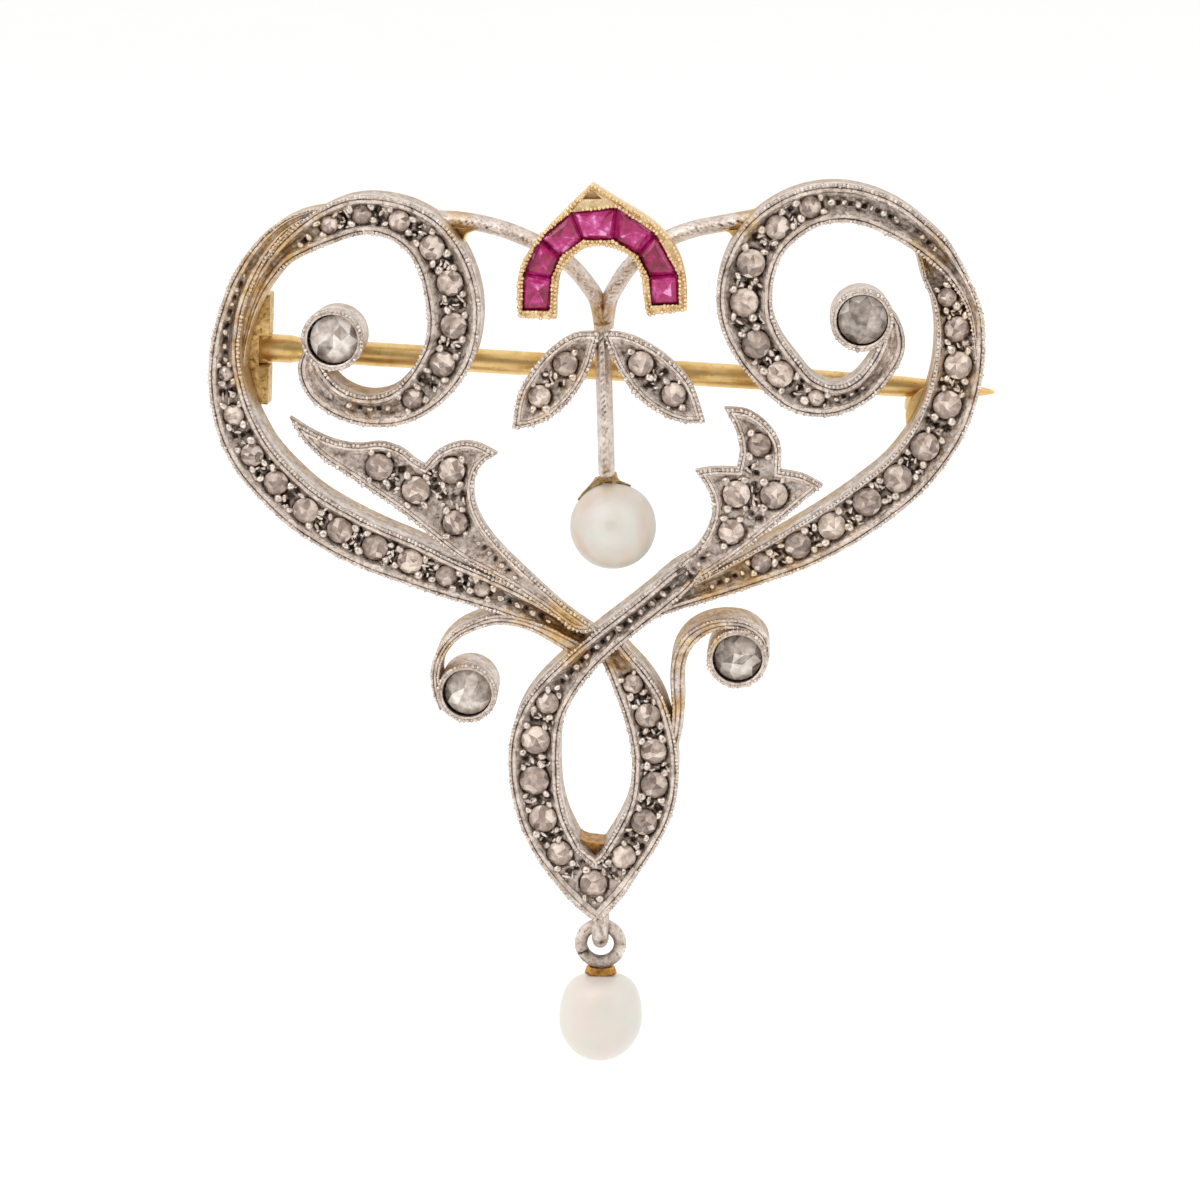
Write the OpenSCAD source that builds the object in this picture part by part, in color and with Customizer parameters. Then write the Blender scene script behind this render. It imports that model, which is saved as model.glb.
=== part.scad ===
// Bow brooch of ribbons, with a ruby arch, a fixed pearl and a hanging pearl.
// It stands upright and faces -Y. The origin is on the pin stem, behind the middle of the bow.

/* [Ribbons] */
// Depth of the ribbons, from face to back
ribbon_deep = 2.4; // [2.3:0.05:2.5]
// Height of a rim over the bed that holds the stones
rim_high = 0.6; // [0.5:0.05:0.7]
// Width of a rim
rim_wide = 0.42; // [0.36:0.02:0.44]
// Depth of the sprigs and leaves
leaf_deep = 1.1; // [1.0:0.1:1.3]
// Depth of the knife edged wires
wire_deep = 1.0; // [0.8:0.1:1.0]

/* [Stones] */
// Radius of the four stones in collets
collet_stone = 1.28; // [1.2:0.02:1.3]
// Width of a collet's wall
collet_wall = 0.22; // [0.2:0.02:0.26]
// Height of a small rose cut over its girdle
rose_high = 0.42; // [0.3:0.02:0.46]
// Clear space between a stone and what holds it
stone_gap = 0.04; // [0.03:0.01:0.05]

/* [Pearls] */
// Diameter of the fixed pearl
pearl_wide = 4.36; // [4.2:0.02:4.4]
// Width of the hanging pearl
drop_wide = 4.4; // [4.2:0.02:4.5]
// Height of the hanging pearl
drop_high = 4.6; // [4.4:0.02:4.8]

/* [Ring and bail] */
// Radius of the jump ring, to the middle of its wire
ring_mid = 1.02; // [1.0:0.01:1.04]
// Radius of the jump ring's wire
ring_wire = 0.34; // [0.32:0.01:0.35]
// Radius of the hole in the bail
bail_hole = 0.52; // [0.5:0.01:0.53]
// Radius of the bail outside
bail_round = 1.27; // [1.1:0.01:1.3]
// Width of the bail along X
bail_wide = 0.76; // [0.7:0.02:0.78]

/* [Pin] */
// Radius of the pin stem
pin_round = 0.6; // [0.58:0.01:0.65]
// Angle by which the pin slopes down to its point
pin_lean = 3.05; // [2.8:0.05:3.3]
// Outside radius of the hinge knuckles
knuckle_round = 0.52; // [0.5:0.01:0.55]
// Radius of the hinge rivet
rivet_round = 0.25; // [0.22:0.01:0.27]
// Running clearance of the pin's knuckle on the rivet
rivet_play = 0.05; // [0.03:0.01:0.06]

/* [Hidden] */

$fn = 48;

// Depths along Y: the backs lie in one plane in front of the pin, and the faces look to -Y.
back_y = -1.2;
face_y = back_y - ribbon_deep;
gap = 0.03;
arch_deep = 1.32;
leaf_face = 0.75;
leaf_rim = 0.34;
thin_rim = 0.24;
collet_seat = 0.85;
stem_edge = -3.1;
stem_foot = -2.0;
wire_foot_round = 0.36;
wire_edge_round = 0.1;
solder_round = [0.4, 0.22];
solder_deep = [1, 0.8];
leaf_undercut = 0.3;
collet_ledge = 0.35;
bail_neck = [1.6, 1.5];
bail_neck_rise = 1.2;
stone_girdle = 0.12;
ruby_bed = 0.75;
foot_recess = 0.8;
drop_y = back_y - ribbon_deep / 2;

// Ribbons, row by row along the middle of the face.
// Columns: x, z, width of the face, dip of the face below the front plane.
left_ring = [
    [-14.15, 1.45, 0.6, 0.1],
    [-14.3, 0.55, 1.2, 0],
    [-13.9, -0.4, 1.5, 0],
    [-13.15, -1.1, 1.5, 0],
    [-12.1, -1.55, 1.5, 0],
    [-11.0, -1.65, 1.6, 0],
    [-9.9, -1.4, 1.8, 0],
    [-8.9, -0.75, 2.1, 0],
    [-8.05, 0.2, 2.35, 0],
    [-7.4, 1.4, 2.5, 0],
    [-7.15, 2.8, 2.6, 0],
    [-7.25, 4.2, 2.65, 0],
    [-7.65, 5.6, 2.5, 0],
    [-8.4, 6.8, 2.3, 0],
    [-9.5, 7.6, 2.05, 0],
    [-10.8, 7.98, 1.9, 0],
    [-12.0, 7.93, 1.9, 0],
    [-13.2, 7.5, 1.8, 0],
    [-14.4, 6.85, 1.5, 0.1],
    [-15.5, 6.05, 1.15, 0.25],
    [-16.4, 5.0, 0.95, 0.45],
    [-17.1, 3.8, 0.8, 0.7],
    [-17.6, 2.4, 0.65, 0.9],
    [-17.88, 1.1, 0.5, 1.0],
    [-17.95, -0.2, 0.4, 1.0]];
left_ribbon = [
    [-12.8, 8.22, 0.3, 0.5],
    [-14.1, 8.0, 0.45, 0.3],
    [-15.1, 7.58, 0.6, 0.12],
    [-15.95, 6.9, 0.8, 0.05],
    [-16.75, 5.95, 1.0, 0.02],
    [-17.5, 4.7, 1.15, 0.02],
    [-18.0, 3.5, 1.2, 0.02],
    [-18.35, 2.2, 1.35, 0.02],
    [-18.52, 1.0, 1.5, 0.02],
    [-18.5, -0.2, 1.75, 0.02],
    [-18.3, -1.5, 1.95, 0.02],
    [-17.9, -2.8, 2.15, 0.02],
    [-17.2, -4.15, 2.25, 0.02],
    [-16.1, -5.45, 2.3, 0.02],
    [-14.75, -6.7, 2.35, 0.02],
    [-13.1, -7.75, 2.4, 0.02],
    [-11.4, -8.6, 2.4, 0.02],
    [-9.6, -9.3, 2.3, 0.02],
    [-7.8, -10.05, 2.05, 0.02],
    [-6.0, -10.7, 1.8, 0.02],
    [-4.3, -11.4, 1.55, 0.1],
    [-2.7, -12.25, 1.35, 0.35],
    [-1.2, -13.1, 1.1, 0.72],
    [-0.2, -13.6, 0.8, 0.85]];
right_ring = [
    [13.95, 3.4, 0.4, 0.15],
    [14.2, 2.6, 1.0, 0],
    [14.15, 1.6, 1.3, 0],
    [13.62, 0.58, 1.3, 0],
    [12.87, -0.3, 1.3, 0],
    [11.9, -0.82, 1.38, 0],
    [10.9, -0.9, 1.68, 0],
    [9.75, -0.52, 2.05, 0],
    [8.8, 0.35, 2.3, 0],
    [7.85, 1.5, 2.45, 0],
    [7.2, 2.8, 2.6, 0],
    [7.0, 4.1, 2.7, 0],
    [7.2, 5.5, 2.6, 0],
    [7.8, 6.8, 2.4, 0],
    [8.85, 7.83, 2.2, 0],
    [10.1, 8.48, 2.0, 0],
    [11.5, 8.7, 1.85, 0],
    [12.85, 8.5, 1.75, 0],
    [14.12, 7.97, 1.7, 0],
    [15.32, 7.2, 1.5, 0],
    [16.45, 6.25, 1.3, 0],
    [17.4, 5.0, 0.9, 0],
    [18.05, 3.7, 0.65, 0],
    [18.35, 2.3, 0.55, 0.05],
    [18.45, 1.0, 0.4, 0.1]];
right_ribbon = [
    [15.2, 6.95, 0.5, 1.0],
    [15.8, 6.15, 1.0, 0.7],
    [16.35, 5.3, 1.6, 0.4],
    [17.1, 4.2, 2.1, 0.1],
    [17.45, 3.0, 2.3, 0.02],
    [17.52, 1.8, 2.35, 0.02],
    [17.45, 0.6, 2.4, 0.02],
    [17.2, -0.7, 2.45, 0.02],
    [16.75, -2.05, 2.45, 0.02],
    [16.0, -3.4, 2.4, 0.02],
    [14.93, -4.75, 2.4, 0.02],
    [13.52, -5.97, 2.4, 0.02],
    [11.87, -7.17, 2.35, 0.02],
    [10.02, -8.27, 2.2, 0.02],
    [8.22, -9.17, 1.85, 0.02],
    [6.5, -10.0, 1.5, 0.1],
    [4.9, -10.75, 1.2, 0.35],
    [3.4, -11.45, 0.95, 0.7],
    [2.1, -12.15, 0.8, 0.8]];
left_loop = [
    [-2.05, -24.7, 2.3, 0.04],
    [-2.8, -23.2, 2.4, 0.04],
    [-3.22, -21.7, 2.5, 0.04],
    [-3.38, -20.2, 2.6, 0.04],
    [-3.33, -18.7, 2.55, 0.04],
    [-3.02, -17.35, 2.3, 0.04],
    [-2.42, -16.2, 2.0, 0.04],
    [-1.62, -15.15, 1.7, 0.04],
    [-0.66, -14.1, 1.5, 0.04],
    [0.44, -13.1, 1.4, 0.04],
    [1.64, -12.1, 1.35, 0.04],
    [2.84, -11.1, 1.35, 0.04],
    [4.0, -10.05, 1.35, 0.04],
    [4.75, -9.35, 0.9, 0.06]];
right_loop = [
    [-0.1, -12.95, 1.1, 0.85],
    [0.95, -14.5, 1.6, 0.4],
    [1.6, -15.5, 2.0, 0.08],
    [2.15, -16.6, 2.25, 0.06],
    [2.52, -17.8, 2.3, 0.06],
    [2.75, -19.0, 2.35, 0.06],
    [2.8, -20.2, 2.4, 0.06],
    [2.7, -21.4, 2.4, 0.06],
    [2.38, -22.6, 2.35, 0.06],
    [1.8, -23.8, 2.3, 0.06],
    [1.1, -24.95, 2.25, 0.06]];

// Way from the upper bed of the left loop into the bed of the right sprig.
stem_bed = [[3.62, -10.05], [4.0, -10.4], [5.9, -8.75], [5.2, -8.35]];

// Foot of the loop, where its two sides run together: outline, then the bed inside its rim.
loop_foot = [[-3.05, -25.25], [-2.4, -26.15], [-1.6, -27.1], [-0.75, -27.95], [-0.15, -28.3], [0.5, -27.7],
    [1.25, -26.8], [2.05, -25.55], [0.16, -24.3], [-0.3, -24.83], [-1.07, -24.05]];
loop_foot_bed = [[-2.77, -24.91], [-2.0, -26.0], [-1.2, -26.95], [-0.25, -27.6], [0.6, -26.85], [1.25, -25.95],
    [1.8, -25.17], [0.62, -24.39], [0.45, -24.8], [-0.35, -25.45], [-1.3, -24.7], [-1.53, -24.15]];

// Metal set back in the notch where the inner rims run together.
foot_notch = [[-1.07, -24.05], [-0.7, -24.2], [-0.2, -24.26], [0.16, -24.3], [-0.3, -25]];

// Plain strips on edge, with the same four columns.
left_curl = [
    [-1.1, -13.85, 0.8, 0.4],
    [-2.4, -13.05, 0.7, 0.2],
    [-3.3, -12.6, 0.6, 0.12],
    [-4.3, -12.3, 0.55, 0.08],
    [-5.3, -12.25, 0.55, 0.08],
    [-6.3, -12.55, 0.5, 0.08],
    [-7.3, -13.1, 0.5, 0.08],
    [-8.0, -13.95, 0.5, 0.08],
    [-8.35, -15.0, 0.5, 0.08],
    [-8.3, -16.1, 0.45, 0.12],
    [-8.05, -17.0, 0.3, 0.14]];
right_curl = [
    [3.65, -19.0, 0.5, 0.3],
    [3.85, -18.0, 0.6, 0.15],
    [3.95, -16.8, 0.65, 0.1],
    [3.9, -15.6, 0.7, 0.1],
    [3.92, -14.6, 0.72, 0.1],
    [4.15, -13.7, 0.72, 0.1],
    [4.7, -12.95, 0.7, 0.1],
    [5.55, -12.45, 0.6, 0.1],
    [6.5, -12.3, 0.55, 0.1],
    [7.4, -12.45, 0.5, 0.1],
    [8.1, -13.0, 0.45, 0.12],
    [8.35, -13.7, 0.36, 0.14],
    [8.3, -14.5, 0.24, 0.16]];

// Wires of the arch and the stem of the fixed pearl. Columns: x, z.
left_wire = [
    [-8.5, 7.8],
    [-6.8, 7.76],
    [-5.5, 7.4],
    [-4.4, 7.0],
    [-3.4, 6.52],
    [-2.4, 6.0],
    [-1.5, 5.35],
    [-0.8, 4.5],
    [-0.25, 3.6],
    [0.0, 2.3]];
right_wire = [
    [8.2, 8.3],
    [6.9, 8.04],
    [5.5, 7.64],
    [4.4, 7.22],
    [3.3, 6.75],
    [2.3, 6.15],
    [1.4, 5.35],
    [0.8, 4.5],
    [0.35, 3.6],
    [0.15, 2.3]];
pearl_stem = [
    [0.02, 2.6],
    [0.1, 0.2],
    [0.18, -2.1],
    [0.3, -4.44]];

// Solder in the corner between each wire and its ring, from end to end. Columns: x, z.
left_solder = [[-7.0, 7.15], [-6.3, 7.42]];
right_solder = [[7.0, 7.35], [6.3, 7.55]];

// Outlines of the leaves and sprigs, as runs of points between their sharp corners. Columns: x, z.
left_leaf = [
    [[0.0, 2.32], [-1.2, 2.25], [-2.3, 1.6], [-3.3, 0.5], [-4.05, -0.8], [-4.35, -2.5]],
    [[-4.35, -2.5], [-3.2, -2.3], [-2.2, -1.75], [-1.25, -0.75], [-0.55, 0.5], [0.0, 2.32]]];
right_leaf = [
    [[0.1, 2.32], [1.2, 2.25], [2.4, 1.75], [3.5, 0.95], [4.5, -0.25], [5.15, -2.1]],
    [[5.15, -2.1], [4.0, -2.1], [2.8, -1.6], [1.75, -0.75], [0.85, 0.5], [0.1, 2.32]]];
left_sprig = [
    [[-15.4, -2.0], [-14.3, -2.7], [-13.1, -3.2], [-12.0, -3.35], [-10.9, -3.25], [-9.9, -3.55],
        [-9.2, -4.1], [-8.75, -4.35]],
    [[-8.75, -4.35], [-8.0, -3.6], [-7.0, -3.2], [-6.1, -3.25], [-5.1, -3.75]],
    [[-5.1, -3.75], [-5.95, -4.4], [-6.3, -5.5], [-6.05, -6.8], [-5.1, -8.25], [-3.3, -10.05],
        [-1.65, -11.55], [-0.05, -12.7]],
    [[-0.05, -12.7], [-1.3, -12.75], [-3.0, -11.5], [-5.0, -10.2], [-7.0, -9.1], [-8.5, -7.9],
        [-10.0, -6.7], [-12.0, -5.3], [-13.9, -4.0], [-14.9, -2.9], [-15.4, -2.0]]];
right_sprig = [
    [[6.1, -1.35], [7.2, -1.45], [8.2, -2.1], [8.85, -3.1], [8.9, -4.45]],
    [[8.9, -4.45], [10.0, -4.65], [11.0, -5.15]],
    [[11.0, -5.15], [9.9, -6.1], [8.75, -7.15], [7.4, -8.3], [6.1, -9.3], [4.8, -10.2]],
    [[4.8, -10.2], [3.9, -9.3], [4.75, -8.4], [5.35, -7.4], [5.58, -6.3], [5.25, -5.3], [4.7, -4.5]],
    [[4.7, -4.5], [5.6, -4.35], [6.75, -4.35]],
    [[6.75, -4.35], [6.88, -3.4], [6.65, -2.4], [6.1, -1.35]]];

// Collets. Columns: x, z.
collets = [
    [-13.15, 1.88],
    [12.72, 3.05],
    [-6.75, -16.1],
    [6.9, -14.1]];

// Small rose cuts. Columns: x, z, radius.
left_ring_rows = [
    [-13.2, 7.5, 0.44],
    [-11.6, 7.98, 0.48],
    [-9.77, 7.7, 0.53],
    [-8.2, 6.42, 0.62],
    [-7.35, 4.7, 0.64],
    [-7.2, 2.6, 0.64],
    [-7.78, 0.7, 0.64],
    [-9.27, -1.04, 0.51]];
left_ribbon_rows = [
    [-18.51, 0.15, 0.37],
    [-18.2, -1.95, 0.51],
    [-17.35, -3.95, 0.58],
    [-16.2, -5.35, 0.62],
    [-14.75, -6.75, 0.65],
    [-13.05, -7.75, 0.66],
    [-11.3, -8.6, 0.66],
    [-9.55, -9.3, 0.64],
    [-7.75, -10.05, 0.54],
    [-5.95, -10.7, 0.42]];
left_sprig_rows = [
    [-11.0, -4.5, 0.68],
    [-9.2, -5.65, 0.7],
    [-7.4, -4.65, 0.66],
    [-7.25, -7.3, 0.62]];
right_ring_rows = [
    [10.11, 8.48, 0.53],
    [8.55, 7.5, 0.6],
    [7.3, 5.75, 0.7],
    [7.0, 3.85, 0.7],
    [7.6, 1.8, 0.7],
    [8.8, 0.34, 0.66],
    [10.58, -0.82, 0.42]];
right_ribbon_rows = [
    [16.8, 4.16, 0.46],
    [17.32, 2.63, 0.61],
    [17.45, 0.85, 0.68],
    [16.98, -1.1, 0.7],
    [15.95, -3.2, 0.72],
    [14.67, -4.8, 0.72],
    [13.2, -6.0, 0.72],
    [11.48, -7.25, 0.7],
    [9.83, -8.26, 0.67],
    [8.03, -9.15, 0.51]];
right_sprig_rows = [
    [7.83, -3.2, 0.58],
    [6.75, -5.68, 0.68],
    [8.6, -5.72, 0.68],
    [6.51, -7.61, 0.64]];
leaf_rows = [
    [-1.73, 0.73, 0.6],
    [-3.02, -0.9, 0.56],
    [1.98, 0.77, 0.62],
    [3.6, -0.76, 0.6]];
loop_rows = [
    [1.65, -15.55, 0.5],
    [2.4, -17.2, 0.64],
    [2.71, -19.1, 0.66],
    [2.75, -20.9, 0.7],
    [2.24, -22.92, 0.68],
    [1.2, -24.82, 0.64],
    [-0.35, -26.3, 0.7],
    [-2.08, -24.67, 0.66],
    [-2.95, -22.8, 0.72],
    [-3.38, -20.75, 0.76],
    [-3.3, -18.6, 0.74],
    [-2.68, -16.62, 0.58]];

// Ruby arch. Columns: x and z of a joint between stones on the inner side, then on the outer side.
ruby_joints = [
    [-2.45, 3.4, -3.8, 3.4],
    [-2.35, 5.0, -3.75, 5.2],
    [-1.9, 6.05, -2.95, 6.95],
    [-0.85, 6.85, -1.4, 8.2],
    [0.65, 6.85, 0.8, 8.45],
    [1.8, 6.15, 2.7, 7.2],
    [2.35, 5.1, 3.8, 5.2],
    [2.5, 3.7, 3.85, 3.75]];
arch_outside = [
    [[-3.95, 3.02], [-4.05, 4.2], [-3.86, 5.55], [-3.1, 6.8], [-1.85, 8.15], [-0.4, 9.55]],
    [[-0.4, 9.55], [1.0, 8.7], [2.6, 7.7], [3.7, 6.4], [4.15, 5.0], [4.2, 3.45]],
    [[4.2, 3.45], [2.3, 3.2]],
    [[2.3, 3.2], [2.1, 4.2], [1.95, 5.3], [1.3, 6.2], [0.0, 6.6], [-1.1, 6.25], [-1.9, 5.3],
        [-2.1, 4.2], [-2.15, 3.0]],
    [[-2.15, 3.0], [-3.95, 3.02]]];

// Where the fixed pearl sits, and its cap: tilt to the back, lean to the left, half angle and wall.
// The cap's collar under the stem: lean, two radii and height.
pearl_at = [0.6, drop_y, -7.58];
cap_tilt = 22;
cap_lean = 14;
cap_half = 36;
cap_wall = 0.14;
collar_lean = 6.5;
collar = [0.55, 0.33, 0.47];

// The middle of the bail's hole, how far the ring's wire hangs below it, and the drop under the ring.
bail_at = [-0.03, drop_y, -28.84];
ring_hang = 0.06;
ring_at = bail_at - [0, 0, ring_mid + ring_hang];
drop_top = ring_at[2] - ring_mid - ring_wire - 0.5;
drop_cap_round = 0.68;
drop_cap_flat = 0.62;
drop_shoulder = 0.5;

// Hinge, pin and catch, along the pin. The stem tapers through rows of x and radius.
hinge_x = -17.25;
knuckle_tall = 1.44;
knuckle_play = 0.06;
knuckle_top = 2.85;
knuckle_foot = -2.7;
root_end = -15.3;
root_round = 0.7;
root_taper = 0.5;
taper_x = 9;
catch_stem = [15, 0.51];
point_stem = [18.6, 0.3];
point_round = 0.1;
catch_x = 15.2;
catch_wide = 1.75;
catch_hole = 0.85;
catch_round = 1.15;
catch_mouth = 0.58;
catch_top = 0.2;
catch_foot = -1.85;
tip_x = 19.62;
catch_turn = 1.55;
catch_turn_z = -1.2;
hinge_plate = 1.5;
plate_deep = 0.35;

// Smooth curve through rows of numbers, with a number of steps between rows.
function smooth(rows, steps) = [
    for (i = [0 : len(rows) - 2])
        let (a = rows[max(i - 1, 0)], b = rows[i], c = rows[i + 1], d = rows[min(i + 2, len(rows) - 1)])
            for (s = [0 : steps - 1])
                let (t = s / steps)
                    b + (c - a) * t / 2
                        + (2 * a - 5 * b + 4 * c - d) * t * t / 2
                        + (3 * b - a - 3 * c + d) * t * t * t / 2,
    rows[len(rows) - 1]];

// Outline of smooth runs that meet in sharp corners.
function outline(runs, steps) = [
    for (run = runs)
        let (points = smooth(run, steps))
            for (i = [0 : len(points) - 2]) points[i]];

// Direction along a row of stations, in the plane of the face.
function along(stations, i) =
    let (a = stations[max(i - 1, 0)], b = stations[min(i + 1, len(stations) - 1)])
        let (d = [b[0] - a[0], b[1] - a[1]])
            d / norm(d);

// Section of a ribbon with two rims: distance across, then Y. The near rim is on the right of the way it runs.
function channel_section(width, dip, near_rim) =
    let (near = min(near_rim, 0.38 * width), far = min(rim_wide, 0.38 * width), half = width / 2, top = face_y + dip)
        [[-half, back_y], [-half, top], [-half + near, top], [-half + near, top + rim_high],
            [half - far, top + rim_high], [half - far, top], [half, top], [half, back_y]];

// Section of a plain strip.
function strip_section(width, dip) =
    let (half = width / 2, top = face_y + dip)
        [[-half, back_y + 0.05], [-half, top], [half, top], [half, back_y + 0.05]];

// A section set up at one station.
function station_ring(section, at, dir) = [
    for (p = section) [at[0] - dir[1] * p[0], p[1], at[1] + dir[0] * p[0]]];

// Solid between equal rings of points, closed by its first and last ring.
module loft(rings) {
    count = len(rings[0]);
    last = len(rings) - 1;
    sides = [
        for (i = [0 : last - 1])
            for (j = [0 : count - 1])
                let (a = i * count + j, b = i * count + (j + 1) % count)
                    each [[a, b, b + count], [a, b + count, a + count]]];
    start = [for (j = [count - 1 : -1 : 0]) j];
    end = [for (j = [0 : count - 1]) last * count + j];
    polyhedron([for (ring = rings) each ring], concat(sides, [start, end]), convexity = 6);
}

module channel_ribbon(rows, near_rim = rim_wide) {
    stations = smooth(rows, 2);
    loft([for (i = [0 : len(stations) - 1])
        station_ring(channel_section(stations[i][2], stations[i][3], near_rim), stations[i], along(stations, i))]);
}

module plain_strip(rows) {
    stations = smooth(rows, 2);
    loft([for (i = [0 : len(stations) - 1])
        station_ring(strip_section(stations[i][2], stations[i][3]), stations[i], along(stations, i))]);
}

// Plate with its outline in the plane of the face, from one Y to another.
module plate(points, from_y, to_y) {
    translate([0, to_y, 0])
        rotate([90, 0, 0])
            linear_extrude(to_y - from_y)
                polygon(points);
}

// The same plate drawn in by a distance.
module inner_plate(points, inset, from_y, to_y) {
    translate([0, to_y, 0])
        rotate([90, 0, 0])
            linear_extrude(to_y - from_y)
                offset(delta = -inset)
                    polygon(points);
}

// Leaf with a rim round its bed, and a back drawn in behind it.
module rimmed_leaf(runs, dip) {
    points = outline(runs, 2);
    top = face_y + dip;
    difference() {
        union() {
            plate(points, top, top + leaf_face);
            inner_plate(points, leaf_undercut, top + leaf_face - 0.05, top + leaf_deep);
        }
        inner_plate(points, leaf_rim, top - 0.1, top + rim_high);
    }
}

// Slice of a knife edged wire.
module wire_slice(at, foot_y, edge_y) {
    translate([at[0], foot_y, at[1]])
        rotate([90, 0, 0])
            cylinder(h = foot_y - edge_y, r1 = wire_foot_round, r2 = wire_edge_round, $fn = 8);
}

module knife_wire(points, foot_y, edge_y) {
    for (i = [0 : len(points) - 2])
        hull() {
            wire_slice(points[i], foot_y, edge_y);
            wire_slice(points[i + 1], foot_y, edge_y);
        }
}

// Tube of a collet, and what is cut from it for the stone and the open back.
module collet(at) {
    translate([at[0], back_y + 0.02, at[1]])
        rotate([90, 0, 0])
            cylinder(h = ribbon_deep, r = collet_stone + stone_gap + collet_wall, $fn = 40);
}

module collet_cut(at) {
    translate([at[0], back_y + 0.02, at[1]])
        rotate([90, 0, 0]) {
            translate([0, 0, ribbon_deep - collet_seat])
                cylinder(h = collet_seat + 0.2, r = collet_stone + stone_gap, $fn = 40);
            translate([0, 0, -0.1])
                cylinder(h = ribbon_deep, r = collet_stone - collet_ledge, $fn = 40);
        }
}

// Band of the bail, with a neck that rises into the foot of the loop.
module bail() {
    translate(bail_at)
        rotate([0, 90, 0]) {
            cylinder(h = bail_wide, r = bail_round, center = true, $fn = 36);
            translate([-bail_neck_rise, 0, 0])
                cube([bail_neck[0], bail_neck[1], bail_wide], center = true);
        }
}

module bail_cut() {
    translate(bail_at)
        rotate([0, 90, 0])
            cylinder(h = bail_wide + 2, r = bail_hole, center = true, $fn = 36);
}

// Solder that fills the corner where a wire meets a ring, thick at the ring and thin at the wire.
module solder(ends) {
    hull()
        for (i = [0, 1])
            translate([ends[i][0], back_y - 0.1, ends[i][1]])
                rotate([90, 0, 0])
                    cylinder(h = solder_deep[i], r = solder_round[i], $fn = 10);
}

module frame() {
    color("gainsboro")
        difference() {
            union() {
                channel_ribbon(left_ring);
                channel_ribbon(left_ribbon);
                channel_ribbon(right_ring);
                channel_ribbon(right_ribbon, thin_rim);
                channel_ribbon(left_loop);
                channel_ribbon(right_loop);
                plain_strip(left_curl);
                plain_strip(right_curl);
                rimmed_leaf(left_sprig, 0.07);
                rimmed_leaf(right_sprig, 0.03);
                rimmed_leaf(left_leaf, 0.2);
                rimmed_leaf(right_leaf, 0.22);
                plate(loop_foot, face_y + 0.05, back_y + 0.02);
                plate(foot_notch, face_y + foot_recess, back_y + 0.02);
                for (at = collets) collet(at);
                knife_wire(left_wire, back_y, back_y - wire_deep);
                knife_wire(right_wire, back_y, back_y - wire_deep);
                knife_wire(pearl_stem, stem_foot, stem_edge);
                solder(left_solder);
                solder(right_solder);
                bail();
            }
            plate(loop_foot_bed, face_y - 0.1, face_y + rim_high);
            plate(stem_bed, face_y - 0.1, face_y + rim_high);
            for (at = collets) collet_cut(at);
            bail_cut();
        }
}

module ruby_setting() {
    inner = [for (j = ruby_joints) [j[0], j[1]]];
    outer = [for (i = [len(ruby_joints) - 1 : -1 : 0]) [ruby_joints[i][2], ruby_joints[i][3]]];
    color("goldenrod")
        difference() {
            plate(outline(arch_outside, 3), face_y, face_y + arch_deep);
            plate(concat(inner, outer), face_y - 0.1, face_y + ruby_bed);
        }
}

// Point between two points.
function between(a, b, t) = a + (b - a) * t;

// Four corners drawn towards their middle by a share.
function drawn_in(corners, share, y) =
    let (mid = (corners[0] + corners[1] + corners[2] + corners[3]) / 4)
        [for (c = corners) let (p = between(c, mid, share)) [p[0], y, p[1]]];

// Calibre cut with a table, two steps of crown facets and a step of pavilion facets.
module calibre(i) {
    a = ruby_joints[i];
    b = ruby_joints[i + 1];
    corners = [[a[0], a[1]], [a[2], a[3]], [b[2], b[3]], [b[0], b[1]]];
    floor_y = face_y + ruby_bed;
    color("mediumvioletred")
        loft([
            drawn_in(corners, 0.45, floor_y - gap),
            drawn_in(corners, 0.1, floor_y - 0.3),
            drawn_in(corners, 0.09, floor_y - 0.4),
            drawn_in(corners, 0.2, floor_y - 0.6),
            drawn_in(corners, 0.45, floor_y - 0.74)]);
}

// Ring of a cut stone: corners on a circle at one height.
function stone_ring(sides, round, high) = [
    for (k = [0 : sides - 1])
        let (turn = -360 * (k + 0.5) / sides)
            [round * cos(turn), -high, round * sin(turn)]];

// Rose cut with a flat back, a girdle, crown facets and a small table.
module rose_cut(sides, round, high) {
    loft([
        stone_ring(sides, round - 0.05, 0),
        stone_ring(sides, round, stone_girdle),
        stone_ring(sides, 0.42 * round, stone_girdle + high)]);
}

module stone_field(rows, bed_y) {
    color("rosybrown")
        for (row = rows)
            translate([row[0], bed_y - gap, row[1]])
                rose_cut(8, row[2], rose_high);
}

module collet_rose(i) {
    color("silver")
        translate([collets[i][0], back_y + 0.02 - ribbon_deep + collet_seat - gap, collets[i][1]])
            rotate([0, 12 * i, 0])
                rose_cut(12, collet_stone, 0.62);
}

module pearl_cap() {
    inside = pearl_wide / 2 + gap;
    outside = inside + cap_wall;
    rim_z = outside * cos(cap_half);
    color("goldenrod")
        translate(pearl_at)
            difference() {
                union() {
                    intersection() {
                        sphere(r = outside);
                        rotate([-cap_tilt, -cap_lean, 0])
                            translate([0, 0, rim_z])
                                cylinder(h = outside, r = outside);
                    }
                    rotate([0, -collar_lean, 0])
                        translate([0, 0, outside - 0.1])
                            cylinder(h = collar[2], r1 = collar[0], r2 = collar[1]);
                }
                sphere(r = inside);
            }
}

module upper_pearl() {
    color("linen")
        translate(pearl_at)
            sphere(d = pearl_wide);
}

module jump_ring() {
    color("gainsboro")
        translate(ring_at)
            rotate([90, 0, 0])
                rotate_extrude()
                    translate([ring_mid, 0])
                        circle(r = ring_wire, $fn = 32);
}

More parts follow.
